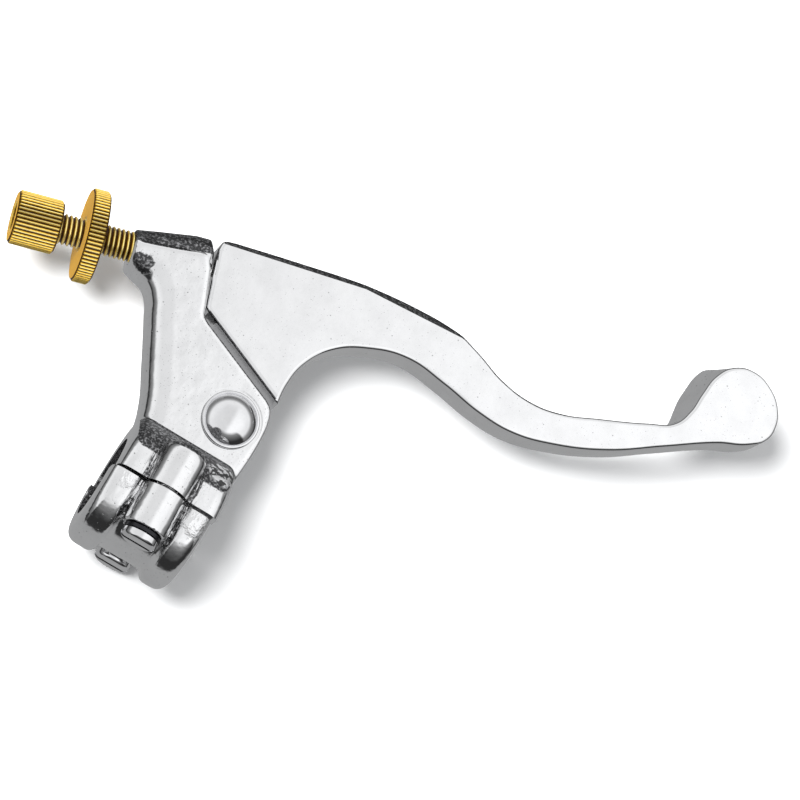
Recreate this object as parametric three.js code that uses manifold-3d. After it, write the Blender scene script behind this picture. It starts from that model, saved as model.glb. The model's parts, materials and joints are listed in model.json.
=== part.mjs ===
// Clutch lever with its handlebar perch, clamp and cable adjuster.
// Millimetres. Origin at the centre of the handlebar bore, +X along the handlebar towards the
// lever tip, +Y from the handlebar towards the lever, +Z up out of the lever's plane.

import * as THREE from 'three';
import { mergeVertices } from 'three/addons/utils/BufferGeometryUtils.js';
import Module from 'manifold-3d';

const wasm = await Module();
wasm.setup();

// ---------------------------------------------------------------- driving dimensions

const ROUND = 32;                  // sides of a turned piece
const FIT = 0.15;                  // radial room round a pin, screw or thread
const SEAT = 0.1;                  // room between two faces that bear on each other
const CURVE_STEP = 2.2;            // length of a step along a curved outline
const STRAIGHT = 2e-3;             // a point nearer than this to its neighbours' line is on it

const BAR_R = 11.1;                // 22.2 mm handlebar
const PERCH_ENDS = [-13.5, 14.5];  // side faces of the perch's half of the clamp
const CAP_ENDS = [-14.5, 13.6];    // side faces of the cap, which sits a little to the left
const CLAMP_R = 18.3;              // outside of the perch's half of the clamp
const CAP_RIB_R = 17.8;            // outside of the cap's two ribs
const CAP_WEB_R = 15.4;            // outside of the cap between its ribs
const CAP_RIB_INNER = 7.0;         // where a rib ends, measured from the middle
const CLAMP_EDGE = 3.0;            // rounding of the clamp's ends and ribs
const SPLIT_HALF = 0.4;            // half of the gap between perch and cap

const LUG_Z = 15.8;                // screw centres, either side of the bar
const LUG_R = 6.0;
const PERCH_LUG_TOP = 13.2;        // along Y
const CAP_LUG_BOTTOM = -11.0;
const SCREW_R = 3.0;               // M6 clamp screws
const SCREW_END = 10.5;
const SCREW_HEAD_R = 4.8;
const SCREW_HEAD_H = 2.3;
const SCREW_SLOT_W = 1.4;
const SCREW_SLOT_D = 1.0;
const LOCK_WASHER_R = 4.9;
const LOCK_WASHER_T = 1.1;
const LOCK_WASHER_CUT = 1.0;

const NECK_HALF = 7.5;             // half thickness of the perch's flat body
const NECK_EDGE = 1.0;             // rounding of its rim
const BEAD_R = 5.5;                // large rounding down the neck's outer side
const SLOT_HALF = 3.9;             // half of the lever slot between the two ears
const SLOT_R = 10.2;               // round end of the lever slot, about the pivot
const PIVOT = new THREE.Vector2(6.4, 27.5);

const MOUTH = new THREE.Vector3(-36.5, 55.7, 0);       // where the adjuster enters the perch
const ADJUSTER_TURN = THREE.MathUtils.degToRad(17.5);  // its axis, above the -X direction
const BOSS_R = 7.1;                // round boss that the adjuster screws into, at its root
const BOSS_MOUTH_R = 4.5;          // the same boss at its mouth
const BOSS_LENGTH = 20.6;
const THREAD_R = 4.0;              // M8 adjuster thread
const THREAD_DEPTH = 0.55;
const THREAD_PITCH = 1.25;
const THREAD_SIDES = 18;
const THREAD_IN = 12.0;            // thread inside the perch at rest
const THREAD_HOLE = 16.6;          // depth of the perch's threaded hole
const CABLE_HOLE_R = 2.2;          // inner cable's way out of the perch
const RING_START = 8.6;            // lock ring, measured out from the mouth
const RING_T = 4.5;
const RING_R = 12.2;
const RING_FLUTES = 72;
const BARREL_START = 19.2;         // finger barrel, measured out from the mouth
const BARREL_LENGTH = 11.8;
const BARREL_R = 7.0;
const BARREL_FLUTES = 42;
const FLUTE_DEPTH = 0.4;
const KNURL_EDGE = 0.7;            // chamfer at each end of a fluted rim
const FERRULE_R = 3.6;             // socket for the cable casing's ferrule
const FERRULE_DEPTH = 8.0;
const WIRE_R = 1.5;                // inner cable's way through the adjuster

const BLADE_HALF = 5.0;            // half thickness of the lever blade
const BLADE_EDGE = 1.1;            // rounding of its rim
const BALL = new THREE.Vector2(123.2, 105.7);
const BALL_R = 12.5;               // underside of the ball end
const BALL_FLARE = 2.8;            // how much narrower its upper side is
const TONGUE_HALF = 3.2;           // half thickness of the lever's root in the slot
const TONGUE_R = 9.4;
const NIPPLE_R = 4.1;              // pocket for the cable's end nipple, open from below
const NIPPLE_ALONG = 28.0;         // from the mouth, along the adjuster axis
const NIPPLE_TOP = 2.5;
const WIRE_SLOT_W = 2.6;
const WIRE_SLOT_TOP = 1.3;

const SHANK_R = 4.0;               // pivot bolt's plain shoulder
const BUSH_R = 6.0;
const BOLT_THREAD_R = 3.0;
const BOLT_END = -15.2;
const HEAD_R = 7.5;
const HEAD_RIM = 0.9;
const HEAD_RISE = 3.3;
const HEAD_RECESS_R = 8.3;
const HEAD_RECESS = 0.6;
const THRUST_R = 8.2;
const THRUST_T = 0.5;
const NUT_WASHER_R = 6.2;
const NUT_WASHER_T = 1.2;
const NUT_ACROSS_FLATS = 10.0;
const NUT_H = 4.6;
const NUT_COLLAR_R = 4.6;
const NUT_COLLAR_H = 1.7;
const NYLON_R = 3.9;
const NYLON_H = 1.3;

// ---------------------------------------------------------------- materials

const METALS = {
  castAluminium: { color: 0xd9dadb, roughness: 0.32, metalness: 1.0 },
  steel: { color: 0xb9bcc0, roughness: 0.25, metalness: 1.0 },
  brass: { color: 0xd9a432, roughness: 0.28, metalness: 1.0 },
  bronze: { color: 0xa9793f, roughness: 0.4, metalness: 1.0 },
  nylon: { color: 0x2f5fa8, roughness: 0.6, metalness: 0.0 },
};

function named(name, metal, geometry) {
  const material = new THREE.MeshStandardMaterial(METALS[metal]);
  const mesh = new THREE.Mesh(geometry, material);
  mesh.name = name;
  return mesh;
}

// ---------------------------------------------------------------- solids

// A closed three.js geometry as a solid that can be joined and cut.
function solid(geometry) {
  const bare = geometry.clone();
  bare.deleteAttribute('normal');
  bare.deleteAttribute('uv');
  const merged = mergeVertices(bare, 1e-4);
  const mesh = new wasm.Mesh({
    numProp: 3,
    vertProperties: new Float32Array(merged.attributes.position.array),
    triVerts: new Uint32Array(merged.index.array),
  });
  return new wasm.Manifold(mesh);
}

function geometryOf(body) {
  const mesh = body.getMesh();
  const geometry = new THREE.BufferGeometry();
  geometry.setAttribute('position', new THREE.BufferAttribute(mesh.vertProperties, 3));
  geometry.setIndex(new THREE.BufferAttribute(mesh.triVerts, 1));
  geometry.computeVertexNormals();
  return geometry;
}

function join(first, ...others) {
  return others.reduce((body, other) => body.add(other), first);
}

function cut(first, ...others) {
  return others.reduce((body, other) => body.subtract(other), first);
}

function box(low, high) {
  const size = new THREE.Vector3().subVectors(high, low);
  const centre = new THREE.Vector3().addVectors(low, high).multiplyScalar(0.5);
  const geometry = new THREE.BoxGeometry(size.x, size.y, size.z);
  geometry.translate(centre.x, centre.y, centre.z);
  return geometry;
}

// Turned about the local Y axis from [radius, height] pairs. A profile that leaves the axis
// closes on itself, and one that starts on the axis ends there.
function turned(profile, sides = ROUND) {
  const points = profile.map(([radius, height]) => new THREE.Vector2(radius, height));
  const hollow = points.every((point) => point.x > 0);
  if (hollow) points.push(points[0].clone());
  return new THREE.LatheGeometry(points, sides);
}

function rod(radius, from, to, sides = ROUND) {
  return turned([[0, from], [radius, from], [radius, to], [0, to]], sides);
}

function ringProfile(outer, inner, from, to) {
  return [[inner, from], [outer, from], [outer, to], [inner, to]];
}

// The corners of an outline, with its curves in steps of a few millimetres. A point in the
// middle of a straight run adds nothing and is left out.
function cornersOf(shape) {
  const points = [];
  for (const curve of shape.curves) {
    const pieces = curve.isLineCurve ? 1 : Math.ceil(curve.getLength() / CURVE_STEP);
    for (let i = 0; i < pieces; i += 1) {
      points.push(curve.getPointAt(i / pieces));
    }
  }
  points.push(shape.currentPoint.clone());
  return points.filter((point, i) => {
    const before = points[(i + points.length - 1) % points.length];
    const chord = points[(i + 1) % points.length].clone().sub(before);
    return Math.abs(chord.cross(point.clone().sub(before))) > STRAIGHT * chord.length();
  });
}

// An outline in the X-Y plane, extruded from one height to another, with an optional round rim
// that stays inside the outline.
function slab(shape, from, to, rim = 0, rimSteps = 2) {
  const geometry = new THREE.ExtrudeGeometry(new THREE.Shape(cornersOf(shape)), {
    depth: to - from - 2 * rim,
    bevelEnabled: rim > 0,
    bevelSize: rim,
    bevelThickness: rim,
    bevelOffset: -rim,
    bevelSegments: rimSteps,
  });
  geometry.translate(0, 0, from + rim);
  return geometry;
}

// Local +Y becomes +X, so a turned piece lies along the handlebar.
function alongBar(geometry) {
  return geometry.rotateZ(-Math.PI / 2);
}

// Local +Y becomes +Z, so a turned piece stands on the pivot axis.
function onPivot(geometry) {
  return geometry.rotateX(Math.PI / 2).translate(PIVOT.x, PIVOT.y, 0);
}

// Local +Y becomes the adjuster's way out of the perch.
function onAdjuster(geometry) {
  return geometry.rotateZ(Math.PI / 2 + ADJUSTER_TURN).translate(MOUTH.x, MOUTH.y, MOUTH.z);
}

function pointOnAdjuster(inwards) {
  return new THREE.Vector2(
    MOUTH.x + inwards * Math.cos(ADJUSTER_TURN),
    MOUTH.y + inwards * Math.sin(ADJUSTER_TURN),
  );
}

function pointsOf(pairs) {
  return pairs.map(([x, y]) => new THREE.Vector2(x, y));
}

// A rim of straight flutes with a chamfer at each end, lying along local +Y.
function fluted(radius, flutes, from, to) {
  const points = [];
  const step = Math.PI / flutes;
  for (let i = 0; i < 2 * flutes; i += 1) {
    const reach = i % 2 ? radius - FLUTE_DEPTH : radius;
    points.push(new THREE.Vector2(reach * Math.cos(i * step), reach * Math.sin(i * step)));
  }
  const prism = slab(new THREE.Shape(points), from, to).rotateX(-Math.PI / 2);
  const chamfered = turned([
    [0, from], [radius - KNURL_EDGE, from], [radius + SEAT, from + KNURL_EDGE],
    [radius + SEAT, to - KNURL_EDGE], [radius - KNURL_EDGE, to], [0, to],
  ]);
  return solid(prism).intersect(solid(chamfered));
}

// ---------------------------------------------------------------- clamp

// The ring round the handlebar, turned about the bar, with chamfered ends.
function clampRing(ends, outline) {
  const profile = [[BAR_R, ends[0]], ...outline, [BAR_R, ends[1]]];
  return solid(alongBar(turned(profile, 2 * ROUND)));
}

// A quarter round from each side face onto the outside.
function roundedEnd(radius, ends, side) {
  const steps = 4;
  const corner = [];
  for (let i = 0; i <= steps; i += 1) {
    const angle = (i / steps) * Math.PI / 2;
    const inset = CLAMP_EDGE * (1 - Math.cos(angle));
    const along = side < 0 ? ends[0] + inset : ends[1] - inset;
    corner.push([radius - CLAMP_EDGE * (1 - Math.sin(angle)), along]);
  }
  return side < 0 ? corner : corner.reverse();
}

function plainClampOutline() {
  return [...roundedEnd(CLAMP_R, PERCH_ENDS, -1), ...roundedEnd(CLAMP_R, PERCH_ENDS, 1)];
}

function ribbedClampOutline() {
  const ribFoot = CAP_RIB_INNER - CLAMP_EDGE / 2;
  const shoulder = CAP_RIB_R - CLAMP_EDGE / 4;
  const crown = CAP_RIB_INNER + CLAMP_EDGE / 2;
  return [
    ...roundedEnd(CAP_RIB_R, CAP_ENDS, -1), [CAP_RIB_R, -crown], [shoulder, -CAP_RIB_INNER],
    [CAP_WEB_R, -ribFoot], [CAP_WEB_R, ribFoot],
    [shoulder, CAP_RIB_INNER], [CAP_RIB_R, crown], ...roundedEnd(CAP_RIB_R, CAP_ENDS, 1),
  ];
}

function barBore() {
  const past = 4;
  return solid(alongBar(rod(BAR_R, CAP_ENDS[0] - past, PERCH_ENDS[1] + past, 2 * ROUND)));
}

// Everything on one side of the split between perch and cap.
function sideOfSplit(sign) {
  const reach = 120;
  const near = sign * SPLIT_HALF;
  const far = sign * reach;
  return solid(box(
    new THREE.Vector3(-reach, Math.min(near, far), -reach),
    new THREE.Vector3(reach, Math.max(near, far), reach),
  ));
}

function atLug(side, geometry) {
  return geometry.translate(0, 0, side * LUG_Z);
}

function perchLug(side) {
  const crown = 3.5;
  return solid(atLug(side, turned([
    [0, -SPLIT_HALF], [LUG_R, -SPLIT_HALF], [LUG_R, PERCH_LUG_TOP - crown],
    [LUG_R * 0.8, PERCH_LUG_TOP - crown * 0.4], [LUG_R * 0.4, PERCH_LUG_TOP], [0, PERCH_LUG_TOP],
  ])));
}

function capLug(side) {
  return solid(atLug(side, rod(LUG_R, CAP_LUG_BOTTOM, SPLIT_HALF)));
}

function screwHole(side) {
  const past = 1;
  const deepest = SCREW_END + past;
  return solid(atLug(side, rod(SCREW_R + FIT, CAP_LUG_BOTTOM - past, deepest)));
}

function clampCap() {
  const whole = join(clampRing(CAP_ENDS, ribbedClampOutline()), capLug(1), capLug(-1));
  const half = whole.intersect(sideOfSplit(-1));
  return geometryOf(cut(half, barBore(), screwHole(1), screwHole(-1)));
}

function clampScrew(side) {
  const seat = CAP_LUG_BOTTOM - LOCK_WASHER_T - 2 * SEAT;
  const crown = 0.9;
  const body = solid(atLug(side, turned([
    [0, seat - SCREW_HEAD_H], [SCREW_HEAD_R - crown, seat - SCREW_HEAD_H],
    [SCREW_HEAD_R, seat - SCREW_HEAD_H + crown], [SCREW_HEAD_R, seat],
    [SCREW_R, seat], [SCREW_R, SCREW_END - SCREW_R / 3], [SCREW_R * 2 / 3, SCREW_END],
    [0, SCREW_END],
  ])));
  const slot = solid(atLug(side, box(
    new THREE.Vector3(-SCREW_HEAD_R * 1.2, seat - SCREW_HEAD_H - 1, -SCREW_SLOT_W / 2),
    new THREE.Vector3(SCREW_HEAD_R * 1.2, seat - SCREW_HEAD_H + SCREW_SLOT_D, SCREW_SLOT_W / 2),
  )));
  return geometryOf(cut(body, slot));
}

function lockWasher(side) {
  const top = CAP_LUG_BOTTOM - SEAT;
  const bottom = top - LOCK_WASHER_T;
  const ring = solid(turned(ringProfile(LOCK_WASHER_R, SCREW_R + FIT, bottom, top)));
  const split = solid(box(
    new THREE.Vector3(0, bottom - 1, -LOCK_WASHER_CUT / 2),
    new THREE.Vector3(LOCK_WASHER_R + 1, top + 1, LOCK_WASHER_CUT / 2),
  ).rotateY(-side * Math.PI / 3));
  return geometryOf(cut(ring, split).translate(0, 0, side * LUG_Z));
}

// ---------------------------------------------------------------- perch

// The middle of the rounding down the neck's outer side, from the clamp round to the mouth.
const BEAD_LINE = [
  [-7.6, 9], [-7.9, 16.4], [-10.2, 24.6], [-13.9, 32.4], [-16.9, 38.6], [-19.4, 43.6],
  [-22.0, 48.6], [-26.0, 52.6], [-31.0, 54.2], [-36.4, 53.9],
];

// The bead line moved sideways, away from the neck.
function besideBead(distance) {
  const line = new THREE.SplineCurve(pointsOf(BEAD_LINE));
  return BEAD_LINE.map(([x, y], i) => {
    const along = line.getTangent(i / (BEAD_LINE.length - 1));
    return new THREE.Vector2(x - along.y * distance, y + along.x * distance);
  });
}

// Seen from above, a little long where the mouth's flat face cuts it: the neck rises from the clamp on the left to the adjuster boss, and the
// ears' slanted edge runs from the notch beside the lever head down to the pivot.
function neckShape() {
  const shape = new THREE.Shape();
  const [first, ...outerSide] = besideBead(NECK_EDGE);
  shape.moveTo(first.x, first.y);
  shape.splineThru(outerSide);
  shape.lineTo(-38.2, 56.6);
  shape.lineTo(-19.4, 64);
  shape.lineTo(-16.8, 59.8);
  shape.lineTo(-13.1, 50.3);
  shape.quadraticCurveTo(-12.3, 47.5, -10.3, 46.6);
  shape.lineTo(12.2, 37);
  shape.quadraticCurveTo(14.8, 35.7, 15.5, 31.4);
  shape.quadraticCurveTo(15.9, 29, 15.7, 21.6);
  shape.lineTo(PERCH_ENDS[1] - 0.2, 7.6);
  return shape;
}

// The neck's outer side: a bead as thick as the neck with quarter-round corners, laid along
// the bead line.
function neckBead() {
  const section = new THREE.Shape();
  const flat = NECK_HALF - BEAD_R;
  section.absarc(flat, 0, BEAD_R, -Math.PI / 2, Math.PI / 2, false);
  section.absarc(-flat, 0, BEAD_R, Math.PI / 2, Math.PI * 3 / 2, false);
  const line = BEAD_LINE.map(([x, y]) => new THREE.Vector3(x, y, 0));
  return new THREE.ExtrudeGeometry(new THREE.Shape(cornersOf(section)), {
    steps: 2 * line.length,
    bevelEnabled: false,
    extrudePath: new THREE.CatmullRomCurve3(line),
  });
}

// The room that the lever's root swings in: round about the pivot, open towards the lever.
function leverSlot() {
  const shape = new THREE.Shape();
  const start = THREE.MathUtils.degToRad(192);
  const end = THREE.MathUtils.degToRad(270);
  shape.moveTo(-10.7, 61.6);
  shape.lineTo(-10.7, 45);
  shape.lineTo(PIVOT.x + SLOT_R * Math.cos(start), PIVOT.y + SLOT_R * Math.sin(start));
  shape.absarc(PIVOT.x, PIVOT.y, SLOT_R, start, end, false);
  shape.lineTo(30, PIVOT.y - SLOT_R);
  shape.lineTo(30.7, 61.6);
  return solid(slab(shape, -SLOT_HALF, SLOT_HALF));
}

function adjusterBoss() {
  const crown = 1.2;
  const past = 1;
  return solid(onAdjuster(turned([
    [0, -BOSS_LENGTH], [BOSS_R - 2 * crown, -BOSS_LENGTH], [BOSS_R, -BOSS_LENGTH + crown],
    [BOSS_R, -BOSS_LENGTH * 0.75], [BOSS_MOUTH_R + crown, -BOSS_LENGTH * 0.3],
    [BOSS_MOUTH_R, past], [0, past],
  ])));
}

// Everything beyond the flat face that the adjuster enters.
function pastMouth() {
  const reach = 30;
  return solid(onAdjuster(box(
    new THREE.Vector3(-reach, 0, -reach),
    new THREE.Vector3(reach, reach, reach),
  )));
}

function perchBody() {
  const ring = clampRing(PERCH_ENDS, plainClampOutline());
  const neck = solid(slab(neckShape(), -NECK_HALF, NECK_HALF, NECK_EDGE));
  const bead = solid(neckBead());
  const whole = join(ring, neck, bead, adjusterBoss(), perchLug(1), perchLug(-1));
  const half = whole.intersect(sideOfSplit(1));
  const past = 2;
  const threadHole = solid(onAdjuster(rod(THREAD_R + FIT, -THREAD_HOLE, past)));
  const cableHole = solid(onAdjuster(rod(CABLE_HOLE_R, -BOSS_LENGTH - past, -THREAD_HOLE + past)));
  const pivotHole = solid(onPivot(rod(SHANK_R + FIT, 0, NECK_HALF + past)));
  const nutSideHole = solid(onPivot(rod(SHANK_R + FIT, -NECK_HALF - past, past)));
  const headRecess = solid(onPivot(rod(HEAD_RECESS_R, NECK_HALF - HEAD_RECESS, NECK_HALF + past)));
  return geometryOf(cut(
    half, pastMouth(), barBore(), screwHole(1), screwHole(-1), leverSlot(),
    threadHole, cableHole, pivotHole, nutSideHole, headRecess,
  ));
}

// ---------------------------------------------------------------- lever

// The blade seen from above: the head beside the perch, the two-finger curve and the ball end.
function bladeShape() {
  const shape = new THREE.Shape();
  shape.moveTo(15.3, 38.5);
  shape.splineThru(pointsOf([
    [15, 44], [16.3, 51.2], [20.9, 58.4], [29.1, 64], [39.3, 67.3], [50.7, 66.5],
    [62.7, 64.7], [72.7, 64.8], [83.7, 67.9], [97.7, 74.6], [111.1, 84], [123.7, 92.8],
  ]));
  shape.splineThru(pointsOf([
    [131.5, 97], [135.6, 101.2], [136.5, 105.6], [134.9, 110.4], [130.3, 114.8], [124.1, 116.4],
    [118.5, 114.2], [115.2, 109.5], [113.8, 102.6], [113.1, 97], [111.1, 91.6],
  ]));
  shape.splineThru(pointsOf([
    [104.3, 87.5], [91.7, 81.2], [82.1, 76.8], [73.7, 75.1], [64.3, 76], [55.3, 79.1],
    [46.3, 81.4], [36.1, 81.5], [20.7, 79.2], [0.7, 74.3], [-14.1, 70.2],
  ]));
  shape.quadraticCurveTo(-17.9, 69, -17.5, 66.2);
  shape.lineTo(-13.2, 52.2);
  shape.quadraticCurveTo(-12.6, 50.5, -10.7, 49.7);
  return shape;
}

// The ball end spreads towards its underside.
function ballFlare() {
  const top = BLADE_HALF - BLADE_EDGE;
  return turned([
    [0, -BLADE_HALF], [BALL_R - BLADE_EDGE, -BLADE_HALF], [BALL_R, -BLADE_HALF + BLADE_EDGE],
    [BALL_R - BALL_FLARE, top], [0, top],
  ]).rotateX(Math.PI / 2).translate(BALL.x, BALL.y, 0);
}

// The thin root that lies between the ears and carries the pivot bush.
function tongueShape() {
  const shape = new THREE.Shape();
  const start = THREE.MathUtils.degToRad(192);
  const end = THREE.MathUtils.degToRad(20);
  shape.moveTo(-9.1, 51.1);
  shape.lineTo(-9.1, 46);
  shape.lineTo(PIVOT.x + TONGUE_R * Math.cos(start), PIVOT.y + TONGUE_R * Math.sin(start));
  shape.absarc(PIVOT.x, PIVOT.y, TONGUE_R, start, end, false);
  shape.lineTo(14.3, 39.6);
  shape.lineTo(15, 44.6);
  return shape;
}

// The cable's end nipple drops in from below and its wire leaves through the head's left edge.
function nipplePocket() {
  const centre = pointOnAdjuster(NIPPLE_ALONG);
  const below = -BLADE_HALF - 1;
  const hole = solid(turned([
    [0, below], [NIPPLE_R, below], [NIPPLE_R, NIPPLE_TOP], [0, NIPPLE_TOP],
  ]).rotateX(Math.PI / 2).translate(centre.x, centre.y, 0));
  const slot = solid(box(
    new THREE.Vector3(-WIRE_SLOT_W / 2, 0, below),
    new THREE.Vector3(WIRE_SLOT_W / 2, NIPPLE_ALONG - BOSS_LENGTH + 4, WIRE_SLOT_TOP),
  ).rotateZ(Math.PI / 2 + ADJUSTER_TURN).translate(centre.x, centre.y, 0));
  return join(hole, slot);
}

function leverBlade() {
  const blade = solid(slab(bladeShape(), -BLADE_HALF, BLADE_HALF, BLADE_EDGE));
  const tongue = solid(slab(tongueShape(), -TONGUE_HALF, TONGUE_HALF));
  const bushHole = solid(onPivot(rod(BUSH_R + FIT, -BLADE_HALF, BLADE_HALF)));
  return geometryOf(cut(join(blade, solid(ballFlare()), tongue), bushHole, nipplePocket()));
}

// ---------------------------------------------------------------- pivot

function pivotBush() {
  return onPivot(turned(ringProfile(BUSH_R, SHANK_R + FIT, -TONGUE_HALF, TONGUE_HALF)));
}

function thrustWasher(side) {
  const near = TONGUE_HALF + SEAT;
  const low = side > 0 ? near : -near - THRUST_T;
  return onPivot(turned(ringProfile(THRUST_R, SHANK_R + FIT, low, low + THRUST_T)));
}

function pivotBolt() {
  const seat = NECK_HALF - HEAD_RECESS + SEAT;
  const shoulder = -NECK_HALF + SEAT;
  const steps = 8;
  const dome = [];
  for (let i = 0; i < steps; i += 1) {
    const angle = (i / steps) * Math.PI / 2;
    dome.push([HEAD_R * Math.cos(angle), seat + HEAD_RIM + HEAD_RISE * Math.sin(angle)]);
  }
  return onPivot(turned([
    [0, BOLT_END], [BOLT_THREAD_R - 0.6, BOLT_END], [BOLT_THREAD_R, BOLT_END + 0.6],
    [BOLT_THREAD_R, shoulder], [SHANK_R, shoulder], [SHANK_R, seat], [HEAD_R, seat],
    ...dome, [0, seat + HEAD_RIM + HEAD_RISE],
  ]));
}

function nutWasher() {
  const top = -NECK_HALF - SEAT;
  return onPivot(turned(ringProfile(NUT_WASHER_R, BOLT_THREAD_R + FIT, top - NUT_WASHER_T, top)));
}

// A self-locking nut: six flats, then a round collar that holds the nylon ring.
function pivotNut() {
  const top = -NECK_HALF - NUT_WASHER_T - 2 * SEAT;
  const cornerR = NUT_ACROSS_FLATS / 2 / Math.cos(Math.PI / 6);
  const hexagon = solid(turned(
    [[0, top - NUT_H], [cornerR, top - NUT_H], [cornerR, top], [0, top]], 6,
  ));
  const bevel = solid(turned([
    [0, top - NUT_H], [NUT_ACROSS_FLATS / 2, top - NUT_H], [cornerR + SEAT, top - NUT_H + 0.8],
    [cornerR + SEAT, top - 0.8], [NUT_ACROSS_FLATS / 2, top], [0, top],
  ]));
  const collarEnd = top - NUT_H - NUT_COLLAR_H;
  const collar = solid(rod(NUT_COLLAR_R, collarEnd, top - NUT_H + SEAT));
  const hole = solid(rod(BOLT_THREAD_R + FIT, collarEnd - 1, top + 1));
  const pocket = solid(rod(NYLON_R + SEAT, collarEnd - 1, collarEnd + NYLON_H + 2 * SEAT));
  const nut = cut(join(hexagon.intersect(bevel), collar), hole, pocket);
  return onPivot(geometryOf(nut));
}

function nylonRing() {
  const nutTop = -NECK_HALF - NUT_WASHER_T - 2 * SEAT;
  const end = nutTop - NUT_H - NUT_COLLAR_H + SEAT;
  return onPivot(turned(ringProfile(NYLON_R, BOLT_THREAD_R + FIT, end, end + NYLON_H)));
}

// ---------------------------------------------------------------- adjuster

// Thread crests as plain grooves, one for each turn, from the perch out to the barrel.
function threadProfile(from, to) {
  const turns = Math.round((to - from) / THREAD_PITCH);
  const pitch = (to - from) / turns;
  const profile = [];
  for (let i = 0; i < turns; i += 1) {
    const start = from + i * pitch;
    profile.push([THREAD_R - THREAD_DEPTH, start]);
    profile.push([THREAD_R, start + pitch * 0.4]);
    profile.push([THREAD_R, start + pitch * 0.6]);
  }
  profile.push([THREAD_R - THREAD_DEPTH, to]);
  return profile;
}

function cableAdjuster() {
  const end = BARREL_START + BARREL_LENGTH;
  const overlap = 0.5;
  const stem = solid(turned([
    [0, -THREAD_IN], ...threadProfile(-THREAD_IN, BARREL_START + overlap),
    [0, BARREL_START + overlap],
  ], THREAD_SIDES));
  const barrel = fluted(BARREL_R, BARREL_FLUTES, BARREL_START, end);
  const wireHole = solid(rod(WIRE_R, -THREAD_IN - 1, end + 1, 20));
  const socket = solid(rod(FERRULE_R, end - FERRULE_DEPTH, end + 1));
  return onAdjuster(geometryOf(cut(join(stem, barrel), wireHole, socket)));
}

function lockRing() {
  const end = RING_START + RING_T;
  const rim = fluted(RING_R, RING_FLUTES, RING_START, end);
  const hole = solid(rod(THREAD_R + FIT, RING_START - 1, end + 1));
  return onAdjuster(geometryOf(cut(rim, hole)));
}

// ---------------------------------------------------------------- assembly

const group = new THREE.Group();
group.add(
  named('perch_body', 'castAluminium', perchBody()),
  named('clamp_cap', 'castAluminium', clampCap()),
  named('clamp_screw_upper', 'steel', clampScrew(1)),
  named('clamp_screw_lower', 'steel', clampScrew(-1)),
  named('lock_washer_upper', 'steel', lockWasher(1)),
  named('lock_washer_lower', 'steel', lockWasher(-1)),
  named('lever_blade', 'castAluminium', leverBlade()),
  named('pivot_bush', 'bronze', pivotBush()),
  named('thrust_washer_upper', 'steel', thrustWasher(1)),
  named('thrust_washer_lower', 'steel', thrustWasher(-1)),
  named('pivot_bolt', 'steel', pivotBolt()),
  named('pivot_nut_washer', 'steel', nutWasher()),
  named('pivot_nut', 'steel', pivotNut()),
  named('pivot_nut_insert', 'nylon', nylonRing()),
  named('cable_adjuster', 'brass', cableAdjuster()),
  named('adjuster_lock_ring', 'brass', lockRing()),
);

export default group;
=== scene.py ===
"""Looks of the clutch lever: castings, plated hardware, brass adjuster, floor, lights and camera.

Pieces are shaped in millimetres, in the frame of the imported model, and brought to metres last.
"""

import json
import math

import bpy
from mathutils import Matrix, Vector


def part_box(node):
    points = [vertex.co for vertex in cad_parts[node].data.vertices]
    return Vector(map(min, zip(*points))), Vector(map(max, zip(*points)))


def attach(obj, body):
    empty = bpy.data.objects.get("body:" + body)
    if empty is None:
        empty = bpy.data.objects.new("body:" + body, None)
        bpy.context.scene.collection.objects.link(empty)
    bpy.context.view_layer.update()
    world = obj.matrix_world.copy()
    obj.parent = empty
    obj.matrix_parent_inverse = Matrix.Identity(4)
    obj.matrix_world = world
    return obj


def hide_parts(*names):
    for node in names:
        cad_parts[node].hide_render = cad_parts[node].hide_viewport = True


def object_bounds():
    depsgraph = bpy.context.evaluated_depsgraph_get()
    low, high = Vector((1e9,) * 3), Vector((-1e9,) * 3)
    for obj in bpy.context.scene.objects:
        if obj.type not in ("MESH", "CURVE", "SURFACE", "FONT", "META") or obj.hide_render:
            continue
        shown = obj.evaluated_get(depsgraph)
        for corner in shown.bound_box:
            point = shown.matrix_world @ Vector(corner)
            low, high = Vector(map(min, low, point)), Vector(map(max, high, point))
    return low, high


bl_info = {
    "name": "Clutch lever",
    "version": (1, 0, 0),
    "blender": (4, 5, 0),
    "location": "3D View > Sidebar > Clutch lever",
    "description": "Builds the castings, hardware and cable adjuster of a motorcycle clutch lever",
    "category": "Object",
}

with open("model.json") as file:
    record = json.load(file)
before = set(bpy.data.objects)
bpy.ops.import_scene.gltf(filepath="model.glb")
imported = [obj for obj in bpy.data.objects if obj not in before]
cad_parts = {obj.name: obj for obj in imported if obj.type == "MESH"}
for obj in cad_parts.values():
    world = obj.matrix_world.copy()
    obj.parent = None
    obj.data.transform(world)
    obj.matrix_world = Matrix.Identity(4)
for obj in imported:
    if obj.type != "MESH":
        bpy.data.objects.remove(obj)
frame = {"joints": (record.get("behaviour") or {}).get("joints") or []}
CAD_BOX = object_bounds()

# ---------------------------------------------------------------- sizes, in millimetres

MM = 0.001
FIT = 0.15                       # radial room round a pin, screw or thread
SEAT = 0.1                       # room between two faces that bear on each other
FULL_TURN = math.tau
QUARTER_TURN = math.pi / 2


def row_mm(point):
    return Vector(point) / MM


def node_box(node):
    low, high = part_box(node)
    return row_mm(low), row_mm(high)


def joint_named(name):
    return next(joint for joint in frame["joints"] if joint["name"] == name)


PIVOT = row_mm(joint_named("lever_pivot")["pos_m"])
OUT = Vector(joint_named("adjuster_travel")["axis"]).normalized()
ADJUSTER_TURN = math.atan2(-OUT.y, -OUT.x)
MOUTH = Vector((-36.5, 55.7, 0.0))

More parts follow.
